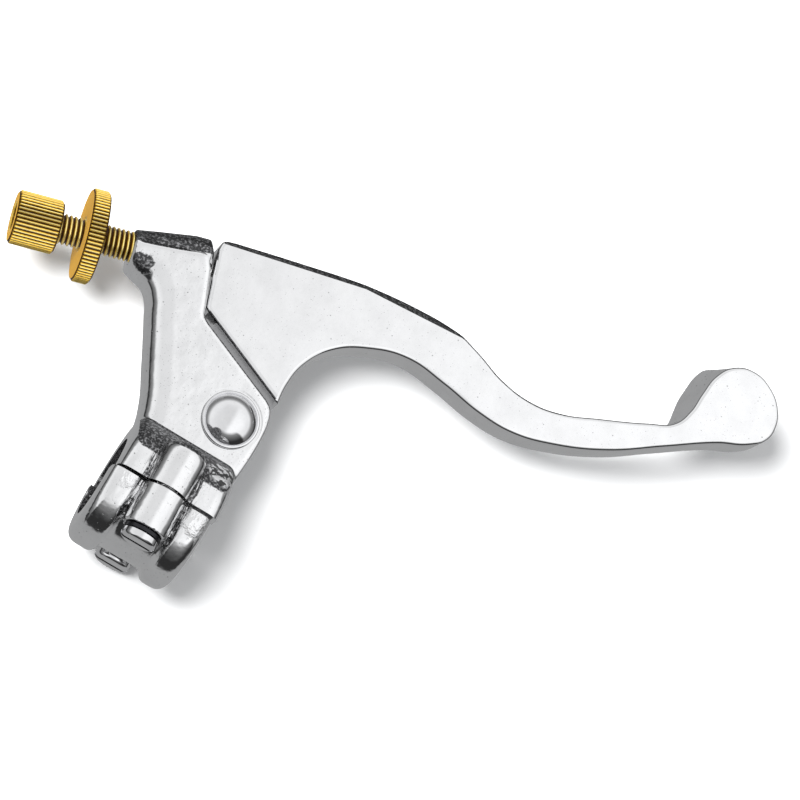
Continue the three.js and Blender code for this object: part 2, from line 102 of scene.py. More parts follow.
PERCH_HIGH = node_box("perch_body")[1]
CAP_LOW = node_box("clamp_cap")[0]
LEVER_HIGH = node_box("lever_blade")[1]

BAR_R = 11.1
PERCH_ENDS = (-13.5, 14.5)
CAP_ENDS = (-14.5, 13.6)
CLAMP_R = 18.3
CAP_RIB_R = -CAP_LOW.y
CAP_WEB_R = 15.4
CAP_RIB_INNER = 6.6
CLAMP_EDGE = 3.0
SPLIT_HALF = 0.4
LUG_Z = 15.8
LUG_R = PERCH_HIGH.z - LUG_Z
PERCH_LUG_TOP = 13.2
CAP_LUG_BOTTOM = -11.0

NECK_HALF = 7.5
BEAD_R = 5.5
SLOT_HALF = 3.9
SLOT_R = 10.2
BOSS_R = 7.1
BOSS_MOUTH_R = 4.5
BOSS_LENGTH = 20.6
THREAD_HOLE = 16.6
CABLE_HOLE_R = 2.2

BLADE_HALF = LEVER_HIGH.z
TONGUE_HALF = 3.2
TONGUE_R = 9.4
BUSH_R = 6.0
SHANK_R = 4.0
NIPPLE_R = 4.1
NIPPLE_TOP = 2.5
NIPPLE_ALONG = 28.0
WIRE_SLOT_W = 2.6
WIRE_SLOT_TOP = 1.3
BALL = Vector((123.2, 105.7))
FLARE_CENTRE = Vector((113.4, 101.5))
FLARE_WAY = Vector((-0.93, 0.37))
HEAD_EDGES = [((-17.0, 69.45), (20.7, 79.2)), ((20.7, 79.2), (50.0, 81.7))]
HEAD_CHAMFER = 1.6               # seen from above
LEVER_SKIN_TO = 85.0             # where the rough skin of the lever's outer edge ends

SCREW_R = 3.0
SCREW_END = 10.5
SCREW_HEAD_R = 4.8
SCREW_HEAD_H = 2.3
WASHER_R = 4.9
WASHER_T = 1.1

HEAD_R = 7.5
HEAD_RIM = 0.9
HEAD_RISE = 3.3
HEAD_RECESS_R = 8.3
HEAD_RECESS = 0.6
BOLT_THREAD_R = 3.0
BOLT_END = -15.2
RIDGE_DEPTH = 0.35
RIDGE_PITCH = 1.0
THRUST_R = 8.2
THRUST_T = 0.5
NUT_WASHER_R = 6.2
NUT_WASHER_T = 1.2
NUT_FLATS = 10.0
NUT_H = 4.6
NUT_COLLAR_R = 4.6
NUT_COLLAR_H = 1.7
NYLON_R = 3.9
NYLON_H = 1.3

THREAD_R = 4.0
THREAD_DEPTH = 0.62
THREAD_PITCH = 1.25
THREAD_IN = 12.0
RING_START = 8.6
RING_T = 4.5
RING_R = 12.2
RING_FLUTES = 72
BARREL_START = 19.2
BARREL_LENGTH = 11.8
BARREL_R = 7.0
BARREL_FLUTES = 42
FLUTE_DEPTH = 0.6
FERRULE_R = 3.6
FERRULE_DEPTH = 8.0
WIRE_R = 1.5

# An outline's point is x, y and whether it is a corner. The others lie on smooth curves.
SMOOTH, CORNER = False, True

BEAD_LINE = [
    (-7.6, 9), (-7.9, 16.4), (-10.2, 24.6), (-13.9, 32.4), (-16.9, 38.6), (-19.4, 43.6),
    (-22.0, 48.6), (-26.0, 52.6), (-31.0, 54.2), (-36.4, 53.9),
]

NECK_OUTLINE = [
    (-37.6, 55.3, CORNER), (-20.3, 62.2, CORNER), (-19.1, 62.2, SMOOTH), (-16.8, 59.8, CORNER),
    (-13.1, 50.3, CORNER), (-12.1, 47.8, SMOOTH), (-10.3, 46.6, CORNER), (12.0, 37.1, CORNER),
    (14.0, 35.5, SMOOTH), (15.3, 32.0, SMOOTH), (15.7, 27.0, SMOOTH), (15.6, 21.6, CORNER),
    (14.3, 7.6, CORNER),
]

BLADE_OUTLINE = [
    (15.3, 38.5, CORNER), (15.0, 44.0, SMOOTH), (16.3, 51.2, SMOOTH), (20.9, 58.4, SMOOTH),
    (29.1, 64.0, SMOOTH), (39.3, 67.3, SMOOTH), (50.7, 66.5, SMOOTH), (62.7, 64.7, SMOOTH),
    (72.7, 64.8, SMOOTH), (83.7, 67.9, SMOOTH), (97.7, 74.6, SMOOTH), (111.1, 84.0, SMOOTH),
    (123.7, 92.8, SMOOTH), (131.5, 97.0, SMOOTH), (135.6, 101.2, SMOOTH), (136.4, 105.6, SMOOTH),
    (134.9, 110.4, SMOOTH), (130.3, 114.8, SMOOTH), (124.1, 116.4, SMOOTH), (118.5, 114.2, SMOOTH),
    (115.2, 109.5, SMOOTH), (113.8, 102.6, SMOOTH), (113.1, 97.0, SMOOTH), (110.6, 91.4, SMOOTH),
    (104.3, 87.5, SMOOTH), (91.7, 81.2, SMOOTH), (82.1, 76.8, SMOOTH), (73.7, 75.1, SMOOTH),
    (64.3, 76.0, SMOOTH), (55.3, 79.1, SMOOTH), (46.3, 81.4, SMOOTH), (36.1, 81.5, SMOOTH),
    (20.7, 79.2, SMOOTH), (0.7, 74.3, SMOOTH), (-14.1, 70.2, CORNER), (-17.1, 68.5, SMOOTH),
    (-17.4, 66.0, CORNER), (-13.2, 52.2, CORNER), (-12.4, 50.6, SMOOTH), (-10.7, 49.7, CORNER),
]


# ---------------------------------------------------------------- settings

class CastingSettings(bpy.types.PropertyGroup):
    grain: bpy.props.FloatProperty(
        name="Mesh step", description="Size of the casting's mesh faces",
        default=0.4 * MM, min=0.2 * MM, max=2 * MM, unit="LENGTH")
    rim: bpy.props.FloatProperty(
        name="Rim rounding", description="Rounding of the neck's and blade's rims",
        default=1.1 * MM, min=0.2 * MM, max=2 * MM, unit="LENGTH")
    softness: bpy.props.IntProperty(
        name="Corner softness", description="How far the inner corners of a casting fill in",
        default=5, min=0, max=30)
    flare: bpy.props.FloatProperty(
        name="Ball flare",
        description="How far the ball end's underside spreads on its inner side",
        default=2.8 * MM, min=0.0, max=5 * MM, unit="LENGTH")
    polished: bpy.props.FloatVectorProperty(
        name="Polished aluminium", description="Colour of the ground and polished faces",
        default=(0.9, 0.9, 0.905), subtype="COLOR", min=0, max=1)
    as_cast: bpy.props.FloatVectorProperty(
        name="As-cast skin", description="Colour of the skin that polishing didn't reach",
        default=(0.07, 0.07, 0.072), subtype="COLOR", min=0, max=1)


class HardwareSettings(bpy.types.PropertyGroup):
    plated: bpy.props.FloatVectorProperty(
        name="Bright plating", description="Colour of the domed bolt and the clamp screws",
        default=(0.87, 0.87, 0.88), subtype="COLOR", min=0, max=1)
    zinc: bpy.props.FloatVectorProperty(
        name="Zinc", description="Colour of the washers and the nut",
        default=(0.52, 0.53, 0.55), subtype="COLOR", min=0, max=1)
    black: bpy.props.FloatVectorProperty(
        name="Black oxide", description="Colour of the split lock washers",
        default=(0.05, 0.05, 0.055), subtype="COLOR", min=0, max=1)
    bronze: bpy.props.FloatVectorProperty(
        name="Bronze", description="Colour of the pivot bush",
        default=(0.5, 0.3, 0.13), subtype="COLOR", min=0, max=1)
    nylon: bpy.props.FloatVectorProperty(
        name="Nylon", description="Colour of the nut's locking ring",
        default=(0.03, 0.09, 0.3), subtype="COLOR", min=0, max=1)


class BrassSettings(bpy.types.PropertyGroup):
    bright: bpy.props.FloatVectorProperty(
        name="Bright brass", description="Colour of the crests and turned faces",
        default=(1.0, 0.63, 0.07), subtype="COLOR", min=0, max=1)
    faces: bpy.props.FloatVectorProperty(
        name="Faced brass", description="Colour of the flat faces at the ends",
        default=(0.62, 0.32, 0.0), subtype="COLOR", min=0, max=1)
    # Partly handling wear and partly painted highlight: the crests are painted paler than the
    # bright brass.
    crests: bpy.props.FloatVectorProperty(
        name="Rubbed crests and painted highlight", description="Colour of the crests, where handling keeps them bright",
        default=(1.0, 0.84, 0.34), subtype="COLOR", min=0, max=1)
    # Partly tarnish and partly painted shade: the grooves are painted dark brown, deeper ones
    # darker.
    tarnish: bpy.props.FloatVectorProperty(
        name="Tarnish and groove shade", description="Colour in the grooves between flutes and threads",
        default=(0.05, 0.016, 0.001), subtype="COLOR", min=0, max=1)
    facets: bpy.props.IntProperty(
        name="Thread facets", description="Steps in each turn of the thread",
        default=64, min=16, max=128)


class StageSettings(bpy.types.PropertyGroup):
    focal: bpy.props.FloatProperty(
        name="Focal length", description="Focal length of the camera, in millimetres",
        default=126.0, min=20, max=300)
    key_power: bpy.props.FloatProperty(
        name="Key light", description="Power of the soft light that casts the shadow",
        default=16.0, min=0, unit="POWER")
    sky: bpy.props.FloatProperty(
        name="Studio tent", description="Brightness of the white tent over the object",
        default=1.0, min=0)


class ClutchLeverSettings(bpy.types.PropertyGroup):
    casting: bpy.props.PointerProperty(type=CastingSettings)
    hardware: bpy.props.PointerProperty(type=HardwareSettings)
    brass: bpy.props.PointerProperty(type=BrassSettings)
    stage: bpy.props.PointerProperty(type=StageSettings)


def settings():
    return bpy.context.scene.clutch_lever


# ---------------------------------------------------------------- modelling

def deselect_all():
    active = bpy.context.view_layer.objects.active
    if active is not None and active.mode != "OBJECT":
        bpy.ops.object.mode_set(mode="OBJECT")
    bpy.ops.object.select_all(action="DESELECT")


def pick(first, *others):
    deselect_all()
    for item in (first, *others):
        item.select_set(True)
    bpy.context.view_layer.objects.active = first
    return first


def tidy_mesh(piece, merge=1e-4):
    """Merges doubles and turns every face outwards."""
    pick(piece)
    bpy.ops.object.mode_set(mode="EDIT")
    bpy.ops.mesh.select_all(action="SELECT")
    bpy.ops.mesh.remove_doubles(threshold=merge)
    bpy.ops.mesh.normals_make_consistent(inside=False)
    bpy.ops.object.mode_set(mode="OBJECT")
    return piece


def arc(centre, radius, start, end, steps=6):
    """Points of an arc in a turned profile, with angles in degrees from the radius direction."""
    points = []
    for i in range(steps + 1):
        angle = math.radians(start + (end - start) * i / steps)
        points.append((centre[0] + radius * math.cos(angle), centre[1] + radius * math.sin(angle)))
    return points


def profile_line(name, profile, height=0.0):
    """Draws a profile of radius and height by extruding one vertex, and stays in edit mode."""
    deselect_all()
    bpy.ops.mesh.primitive_plane_add(size=1)
    piece = bpy.context.object
    piece.name = name
    bpy.ops.object.mode_set(mode="EDIT")
    bpy.ops.mesh.select_all(action="SELECT")
    bpy.ops.mesh.merge(type="CENTER")
    bpy.ops.transform.translate(value=(profile[0][0], 0, profile[0][1] + height))
    for before, after in zip(profile, profile[1:]):
        step = (after[0] - before[0], 0, after[1] - before[1])
        bpy.ops.mesh.extrude_vertices_move(TRANSFORM_OT_translate={"value": step})
    return piece


def turned(name, profile, steps=96):
    """Spins a profile of radius and height about +Z. One that stays off the axis is a ring."""
    if all(radius > 0 for radius, _ in profile):
        profile = [*profile, profile[0]]
    piece = profile_line(name, profile)
    bpy.ops.mesh.select_all(action="SELECT")
    bpy.ops.mesh.spin(steps=steps, angle=FULL_TURN, center=(0, 0, 0), axis=(0, 0, 1))
    bpy.ops.object.mode_set(mode="OBJECT")
    return tidy_mesh(piece)


def place(piece, turn=None, move=(0, 0, 0)):
    """Turns and moves a piece and leaves its place in its mesh."""
    pick(piece)
    matrix = turn.to_4x4() if turn is not None else Matrix.Identity(4)
    piece.matrix_world = Matrix.Translation(Vector(move)) @ matrix
    bpy.ops.object.transform_apply(location=True, rotation=True, scale=True)
    return piece


ALONG_BAR = Matrix.Rotation(QUARTER_TURN, 3, "Y")
ALONG_SCREW = Matrix.Rotation(-QUARTER_TURN, 3, "X")
ALONG_ADJUSTER = OUT.to_track_quat("Z", "Y").to_matrix()


def on_pivot(piece):
    return place(piece, move=(PIVOT.x, PIVOT.y, 0))


def on_adjuster(piece):
    return place(piece, ALONG_ADJUSTER, MOUTH)


def on_screw(piece, side):
    return place(piece, ALONG_SCREW, (0, 0, side * LUG_Z))


def along_adjuster(distance):
    return MOUTH + OUT * distance


def outline_curve(name, outline):
    curve = bpy.data.curves.new(name, "CURVE")
    curve.dimensions = "2D"
    curve.resolution_u = 10
    spline = curve.splines.new("BEZIER")
    spline.bezier_points.add(len(outline) - 1)
    spline.use_cyclic_u = True
    for point, (x, y, corner) in zip(spline.bezier_points, outline):
        point.co = (x, y, 0)
        handle = "VECTOR" if corner else "AUTO"
        point.handle_left_type = handle
        point.handle_right_type = handle
    return curve


def slab(name, outline, low, high, rim=0.0):
    """A flat outline with its thickness along Z and a round rim that stays inside it."""
    curve = outline_curve(name, outline)
    curve.fill_mode = "BOTH"
    curve.extrude = (high - low) / 2 - rim
    curve.bevel_depth = rim
    curve.bevel_resolution = 4
    curve.offset = -rim
    piece = bpy.data.objects.new(name, curve)
    bpy.context.scene.collection.objects.link(piece)
    pick(piece)
    bpy.ops.object.convert(target="MESH")
    piece = bpy.context.object
    place(piece, move=(0, 0, (low + high) / 2))
    return tidy_mesh(piece, 1e-3)


def block(name, low, high):
    """A cutter with square sides."""
    deselect_all()
    low, high = Vector(low), Vector(high)
    bpy.ops.mesh.primitive_cube_add(size=1, location=(low + high) / 2, scale=high - low)
    piece = bpy.context.object
    piece.name = name
    bpy.ops.object.transform_apply(location=True, rotation=True, scale=True)
    return piece


def apply_modifier(piece, kind, **values):
    pick(piece)
    modifier = piece.modifiers.new(kind.lower(), kind)
    for key, value in values.items():
        setattr(modifier, key, value)
    bpy.ops.object.modifier_apply(modifier=modifier.name)
    return piece


def fuse(name, parts, step, softness):
    """Joins overlapping bodies into one casting whose inner corners are filled in."""
    pick(*parts)
    bpy.ops.object.join()
    piece = bpy.context.object
    piece.name = name
    apply_modifier(piece, "REMESH", mode="VOXEL", voxel_size=step)
    apply_modifier(piece, "SMOOTH", factor=0.5, iterations=softness)
    return piece


def combine(operation, piece, tools):
    for tool in tools:
        apply_modifier(piece, "BOOLEAN", operation=operation, object=tool, solver="EXACT")
        bpy.data.objects.remove(tool)
    return piece


def cut(piece, *tools):
    return combine("DIFFERENCE", piece, tools)


def cut_together(piece, *tools):
    """Cuts with tools that don't touch each other, in one go."""
    pick(*tools)
    bpy.ops.object.join()
    return cut(piece, bpy.context.object)


def trim(piece, point, outwards):
    """Takes away everything beyond a plane and closes the face."""
    pick(piece)
    bpy.ops.object.mode_set(mode="EDIT")
    bpy.ops.mesh.select_all(action="SELECT")
    bpy.ops.mesh.bisect(plane_co=point, plane_no=outwards, use_fill=True, clear_outer=True)
    bpy.ops.object.mode_set(mode="OBJECT")
    return piece


def finish(piece, name, body, material, nodes, sharp=35):
    """Brings a piece to metres, shades it, and hands it to the body that it rides on."""
    place(piece, Matrix.Scale(MM, 3))
    piece.name = name
    piece.data.name = name
    pick(piece)
    bpy.ops.object.shade_smooth_by_angle(angle=math.radians(sharp))
    piece.data.materials.clear()
    piece.data.materials.append(material)
    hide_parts(*nodes)
    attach(piece, body)
    return piece


# ---------------------------------------------------------------- node building

class Nodes:
    """Short ways to add and link shader nodes in one tree."""

    def __init__(self, tree):
        self.tree = tree

    def add(self, kind, **values):
        node = self.tree.nodes.new(kind)
        for key, value in values.items():
            setattr(node, key, value)
        return node

    def feed(self, socket, value):
        if isinstance(value, bpy.types.NodeSocket):
            self.tree.links.new(value, socket)
        elif value is not None:
            socket.default_value = value

    def maths(self, operation, first, second=None, third=None, clamp=False):
        node = self.add("ShaderNodeMath", operation=operation, use_clamp=clamp)
        for socket, value in zip(node.inputs, (first, second, third)):
            self.feed(socket, value)
        return node.outputs[0]

    def vector(self, operation, first, second=None):
        node = self.add("ShaderNodeVectorMath", operation=operation)
        self.feed(node.inputs[0], first)
        self.feed(node.inputs[1], second)
        return node.outputs["Value"] if operation in ("LENGTH", "DOT_PRODUCT") else node.outputs[0]

    def ramp(self, value, low, high, to_low=0.0, to_high=1.0):
        node = self.add("ShaderNodeMapRange", interpolation_type="SMOOTHSTEP")
        self.feed(node.inputs["Value"], value)
        for key, number in zip(("From Min", "From Max", "To Min", "To Max"),
                               (low, high, to_low, to_high)):
            self.feed(node.inputs[key], number)
        return node.outputs["Result"]

    def noise(self, vector, scale, detail=3.0, roughness=0.5):
        node = self.add("ShaderNodeTexNoise")
        self.feed(node.inputs["Vector"], vector)
        self.feed(node.inputs["Scale"], scale)
        self.feed(node.inputs["Detail"], detail)
        self.feed(node.inputs["Roughness"], roughness)
        return node.outputs["Fac"]

    def mix(self, factor, first, second):
        node = self.add("ShaderNodeMix", data_type="RGBA")
        self.feed(node.inputs["Factor"], factor)
        self.feed(node.inputs["A"], first)
        self.feed(node.inputs["B"], second)
        return node.outputs["Result"]


def colour(rgb):
    return (*rgb, 1.0)


def new_group(name, inputs, outputs):
    group = bpy.data.node_groups.new(name, "ShaderNodeTree")
    for kind, socket, default in inputs:
        item = group.interface.new_socket(socket, in_out="INPUT", socket_type=kind)
        if default is not None:
            item.default_value = default
    for kind, socket in outputs:
        group.interface.new_socket(socket, in_out="OUTPUT", socket_type=kind)
    nodes = Nodes(group)
    return nodes, nodes.add("NodeGroupInput").outputs, nodes.add("NodeGroupOutput").inputs


FLOAT, VECTOR = "NodeSocketFloat", "NodeSocketVector"


def pits_group():
    """Small scattered pits, as gas leaves in a casting."""
    nodes, inputs, outputs = new_group(
        "Casting pits",
        [(VECTOR, "Place", None), (FLOAT, "Per metre", 600.0), (FLOAT, "Amount", 0.2),
         (FLOAT, "Size", 0.3)],
        [(FLOAT, "Mask")])
    cells = nodes.add("ShaderNodeTexVoronoi")
    nodes.feed(cells.inputs["Vector"], inputs["Place"])
    nodes.feed(cells.inputs["Scale"], inputs["Per metre"])
    pick_cell = nodes.add("ShaderNodeSeparateColor")
    nodes.feed(pick_cell.inputs[0], cells.outputs["Color"])
    chosen = nodes.maths("LESS_THAN", pick_cell.outputs[0], inputs["Amount"])
    reach = nodes.maths("MULTIPLY", inputs["Size"], pick_cell.outputs[1])
    wobble = nodes.noise(inputs["Place"], 2600.0, 1.0)
    distance = nodes.maths("MULTIPLY_ADD", wobble, 0.2, cells.outputs["Distance"])
    inside = nodes.maths("SUBTRACT", nodes.maths("ADD", reach, 0.1), distance)
    soft = nodes.ramp(inside, 0.0, 0.09)
    nodes.feed(outputs["Mask"], nodes.maths("MULTIPLY", chosen, soft))
    return nodes.tree


def scratches_group():
    """Short thin marks that lie roughly along one direction."""
    nodes, inputs, outputs = new_group(
        "Fine scratches",
        [(VECTOR, "Place", None), (FLOAT, "Turn", 0.5), (FLOAT, "Per metre", 200.0),
         (FLOAT, "Amount", 0.1)],
        [(FLOAT, "Mask")])
    turn = nodes.add("ShaderNodeVectorRotate", rotation_type="Z_AXIS")
    nodes.feed(turn.inputs["Vector"], inputs["Place"])
    nodes.feed(turn.inputs["Angle"], inputs["Turn"])
    wander = nodes.noise(inputs["Place"], 500.0, 2.0)
    bent = nodes.add("ShaderNodeCombineXYZ")
    nodes.feed(bent.inputs["Y"], nodes.maths("MULTIPLY", wander, 0.0012))
    wavy = nodes.vector("ADD", turn.outputs[0], bent.outputs[0])
    stretched = nodes.vector("MULTIPLY", wavy, (0.16, 1.6, 0.5))
    marks = use_group(nodes, "Casting pits", pits_group, Place=stretched,
                      Per_metre=inputs["Per metre"], Amount=inputs["Amount"], Size=0.14)["Mask"]
    broken = nodes.ramp(nodes.noise(inputs["Place"], 1400.0, 2.0), 0.42, 0.56)
    nodes.feed(outputs["Mask"], nodes.maths("MULTIPLY", marks, broken))
    return nodes.tree


def groove_group():
    """How deep a point lies in the grooves of a rim that is turned about the adjuster's axis."""
    nodes, inputs, outputs = new_group(
        "Groove depth",
        [(VECTOR, "Place", None), (FLOAT, "Crest radius", 0.007), (FLOAT, "Depth", 0.0004)],
        [(FLOAT, "Mask"), (FLOAT, "Radius")])
    offset = nodes.vector("SUBTRACT", inputs["Place"], tuple(MOUTH * MM))
    radius = nodes.vector("LENGTH", nodes.vector("CROSS_PRODUCT", offset, tuple(OUT)))
    below = nodes.maths("SUBTRACT", inputs["Crest radius"], radius)
    share = nodes.maths("DIVIDE", below, inputs["Depth"])
    inside = nodes.maths("LESS_THAN", share, 1.08)
    nodes.feed(outputs["Mask"], nodes.maths("MULTIPLY", share, inside, clamp=True))
    nodes.feed(outputs["Radius"], radius)
    return nodes.tree


def painted_flank_reflections_group():
    """Painted reflection: dark streaks down both flanks of the clamp's screw lugs."""
    nodes, inputs, outputs = new_group(
        "Painted flank reflections", [(VECTOR, "Place", None)], [(FLOAT, "Mask")])
    split = nodes.add("ShaderNodeSeparateXYZ")
    nodes.feed(split.inputs[0], inputs["Place"])
    off_middle = nodes.maths("ABSOLUTE", split.outputs["X"])
    from_valley = nodes.maths("ABSOLUTE", nodes.maths("SUBTRACT", off_middle, 0.0062))
    band = nodes.ramp(from_valley, 0.0018, 0.0007)
    high = nodes.ramp(nodes.maths("ABSOLUTE", split.outputs["Z"]), 0.010, 0.0125)
    stretched = nodes.vector("MULTIPLY", inputs["Place"], (1.0, 0.1, 0.4))
    lines = nodes.ramp(nodes.noise(stretched, 1500.0, 3.0, 0.6), 0.44, 0.52)
    on_band = nodes.maths("MULTIPLY", band, high)
    nodes.feed(outputs["Mask"], nodes.maths("MULTIPLY", on_band, lines))
    return nodes.tree


def rough_skin_group():
    """Where a casting keeps its rough skin: a ragged spot round one place."""
    nodes, inputs, outputs = new_group(
        "Rough spot",
        [(VECTOR, "Place", None), (VECTOR, "Centre", None), (FLOAT, "Reach", 0.003),
         (FLOAT, "Inner", 0.9)],
        [(FLOAT, "Mask")])
    distance = nodes.vector("LENGTH", nodes.vector("SUBTRACT", inputs["Place"], inputs["Centre"]))
    ragged = nodes.maths("MULTIPLY_ADD", nodes.noise(inputs["Place"], 650.0, 4.0, 0.7), 1.1, 0.45)
    share = nodes.maths("DIVIDE", nodes.maths("MULTIPLY", distance, ragged), inputs["Reach"])
    nodes.feed(outputs["Mask"], nodes.ramp(share, 1.0, inputs["Inner"]))
    return nodes.tree


def use_group(nodes, name, maker, **values):
    """Places a node group, which is made the first time that it is asked for."""
    tree = bpy.data.node_groups.get(name) or maker()
    node = nodes.add("ShaderNodeGroup", node_tree=tree)
    for key, value in values.items():
        nodes.feed(node.inputs[key.replace("_", " ")], value)
    return node.outputs


def new_material(name):
    material = bpy.data.materials.new(name)
    material.use_nodes = True
    nodes = Nodes(material.node_tree)
    shader = material.node_tree.nodes["Principled BSDF"]
    place_node = nodes.add("ShaderNodeTexCoord")
    return material, nodes, shader, place_node.outputs["Object"], place_node.outputs["Normal"]


def bump(nodes, shader, height, strength, distance):
    node = nodes.add("ShaderNodeBump")
    nodes.feed(node.inputs["Height"], height)
    nodes.feed(node.inputs["Strength"], strength)
    nodes.feed(node.inputs["Distance"], distance)
    nodes.feed(shader.inputs["Normal"], node.outputs["Normal"])


# ---------------------------------------------------------------- materials

def spots(nodes, place_at, places, inner):
    """Joins the rough spots of a casting into one mask."""
    mask = 0.0
    for centre, reach in places:
        spot = use_group(nodes, "Rough spot", rough_skin_group, Place=place_at,
                         Centre=tuple(Vector(centre) * MM), Reach=reach * MM, Inner=inner)["Mask"]
        mask = nodes.maths("MAXIMUM", mask, spot)
    return mask


def beyond(nodes, place_at, point, outwards):
    """Everything past a line on a casting, with a ragged edge."""
    past = nodes.vector("DOT_PRODUCT", nodes.vector("SUBTRACT", place_at, tuple(point * MM)),
                        tuple(outwards))
    ragged = nodes.maths("MULTIPLY_ADD", nodes.noise(place_at, 900.0, 3.0, 0.7), 0.0012, -0.0006)
    return nodes.ramp(nodes.maths("ADD", past, ragged), -0.00015, 0.0001)


def cast_aluminium(name, pitting, recess, waves, rough_places=(), dimpled_places=(),
                   rough_past=None, skin_to=1.0, streaks=False):
    """Polished casting: bright faces with pits. Edges that face up stay dull. Flat faces sunk in
    the recess are rougher and painted darker, partly an unpolished finish and partly painted
    shade.
    """
    values = settings().casting
    material, nodes, shader, place_at, normal = new_material(name)
    facing = nodes.add("ShaderNodeSeparateXYZ")
    nodes.feed(facing.inputs[0], normal)
    where = nodes.add("ShaderNodeSeparateXYZ")
    nodes.feed(where.inputs[0], place_at)
    pits = use_group(nodes, "Casting pits", pits_group, Place=place_at, Per_metre=950.0,
                     Amount=pitting, Size=0.24)["Mask"]
    fine = use_group(nodes, "Casting pits", pits_group, Place=place_at, Per_metre=1900.0,
                     Amount=pitting * 1.6, Size=0.3)["Mask"]
    scratches = use_group(nodes, "Fine scratches", scratches_group, Place=place_at, Turn=0.35,
                          Per_metre=230.0, Amount=0.035)["Mask"]
    mottle = nodes.noise(place_at, 150.0, 4.0, 0.6)
    grain = nodes.noise(place_at, 1500.0, 3.0, 0.6)
    ragged = nodes.maths("MULTIPLY_ADD", nodes.noise(place_at, 800.0, 3.0, 0.7), 0.6, -0.3)
    edge_up = nodes.ramp(facing.outputs["Y"], 0.3, 0.5)
    edge_up = nodes.maths(
        "MULTIPLY", edge_up, nodes.ramp(where.outputs["X"], skin_to + 0.025, skin_to - 0.025))
    skin = nodes.ramp(nodes.maths("ADD", edge_up, ragged), 0.4, 0.6)
    skin = nodes.maths("MAXIMUM", skin, spots(nodes, place_at, rough_places, 0.88))
    if rough_past is not None:
        skin = nodes.maths("MAXIMUM", skin, beyond(nodes, place_at, *rough_past))
    # Painted reflection: dark streaks in the skin colour down the lug flanks stand in for the dark
    # surroundings that the flanks reflect.
    if streaks:
        skin = nodes.maths("MAXIMUM", skin, use_group(
            nodes, "Painted flank reflections", painted_flank_reflections_group, Place=place_at)["Mask"])
    dimples = spots(nodes, place_at, dimpled_places, 0.3)
    # Flat faces sunk within the recess depth. Their darker colour below is partly unpolished
    # finish and partly painted shade.
    height_in = nodes.maths("ABSOLUTE", where.outputs["Z"])
    unpolished_shaded_recess = nodes.maths("LESS_THAN", height_in, recess * MM)
    flat = nodes.maths("GREATER_THAN", nodes.maths("ABSOLUTE", facing.outputs["Z"]), 0.9)
    unpolished_shaded_recess = nodes.maths("MULTIPLY", unpolished_shaded_recess, flat)
    bright = nodes.mix(nodes.ramp(mottle, 0.35, 0.7), colour(values.polished),
                       colour([c * 0.94 for c in values.polished]))
    pitted = nodes.mix(nodes.maths("MAXIMUM", nodes.maths("MULTIPLY", pits, 0.5),
                                   nodes.maths("MULTIPLY", fine, 0.35)),
                       bright, colour((0.12, 0.12, 0.12)))
    marked = nodes.mix(nodes.maths("MULTIPLY", scratches, 0.7), pitted, colour((0.2, 0.2, 0.2)))
    # Painted shade: recessed flat faces are darkened towards grey, partly also for their
    # unpolished finish.
    recess_shaded = nodes.mix(nodes.maths("MULTIPLY", unpolished_shaded_recess, 0.75), marked, colour((0.2, 0.2, 0.205)))
    speckle = nodes.mix(nodes.ramp(grain, 0.48, 0.66), colour(values.as_cast),
                        colour((0.45, 0.45, 0.46)))
    flakes = nodes.mix(nodes.ramp(nodes.noise(place_at, 620.0, 3.0, 0.6), 0.47, 0.53),
                       colour((0.1, 0.1, 0.1)), colour(values.polished))
    speckle = nodes.mix(nodes.ramp(dimples, 0.1, 0.5), speckle, flakes)
    nodes.feed(shader.inputs["Base Color"], nodes.mix(skin, recess_shaded, speckle))
    shader.inputs["Metallic"].default_value = 1.0
    smooth = nodes.maths("MULTIPLY_ADD", mottle, 0.1, 0.05)
    worn = nodes.maths("MAXIMUM", smooth, nodes.maths("MULTIPLY", pits, 0.4))
    dull = nodes.maths("MAXIMUM", worn, nodes.maths("MULTIPLY", unpolished_shaded_recess, 0.45))
    nodes.feed(shader.inputs["Roughness"], nodes.maths("MAXIMUM", dull,
                                                       nodes.maths("MULTIPLY", skin, 0.42)))
    coarse = nodes.maths("MULTIPLY", dimples, nodes.noise(place_at, 620.0, 2.0, 0.6))
    fine_share = nodes.maths("MULTIPLY_ADD", skin, 0.9, 0.08)
    relief = nodes.maths("MULTIPLY_ADD", grain, fine_share, nodes.maths("MULTIPLY", coarse, 9.0))
    relief = nodes.maths("MULTIPLY_ADD", nodes.noise(place_at, 260.0, 2.0), waves, relief)
    dents = nodes.maths("ADD", nodes.maths("MULTIPLY", pits, 0.5), scratches)
    bump(nodes, shader, nodes.maths("SUBTRACT", relief, dents), 0.5, 0.00012)
    return material


def plated_steel():
    """Bright plating with a little haze and hairline marks."""
    material = bpy.data.materials.get("Bright plated steel")
    if material is not None:
        return material
    values = settings().hardware
    material, nodes, shader, place_at, _ = new_material("Bright plated steel")
    haze = nodes.noise(place_at, 260.0, 4.0, 0.6)
    marks = use_group(nodes, "Fine scratches", scratches_group, Place=place_at, Turn=1.9,
                      Per_metre=120.0, Amount=0.7)["Mask"]
    tone = nodes.mix(nodes.ramp(haze, 0.3, 0.75), colour(values.plated),
                     colour([c * 0.9 for c in values.plated]))
    nodes.feed(shader.inputs["Base Color"], nodes.mix(marks, tone, colour((0.3, 0.3, 0.3))))
    shader.inputs["Metallic"].default_value = 1.0
    nodes.feed(shader.inputs["Roughness"], nodes.maths("MULTIPLY_ADD", haze, 0.12, 0.03))
    bump(nodes, shader, nodes.maths("SUBTRACT", haze, marks), 0.12, 0.00008)
    return material


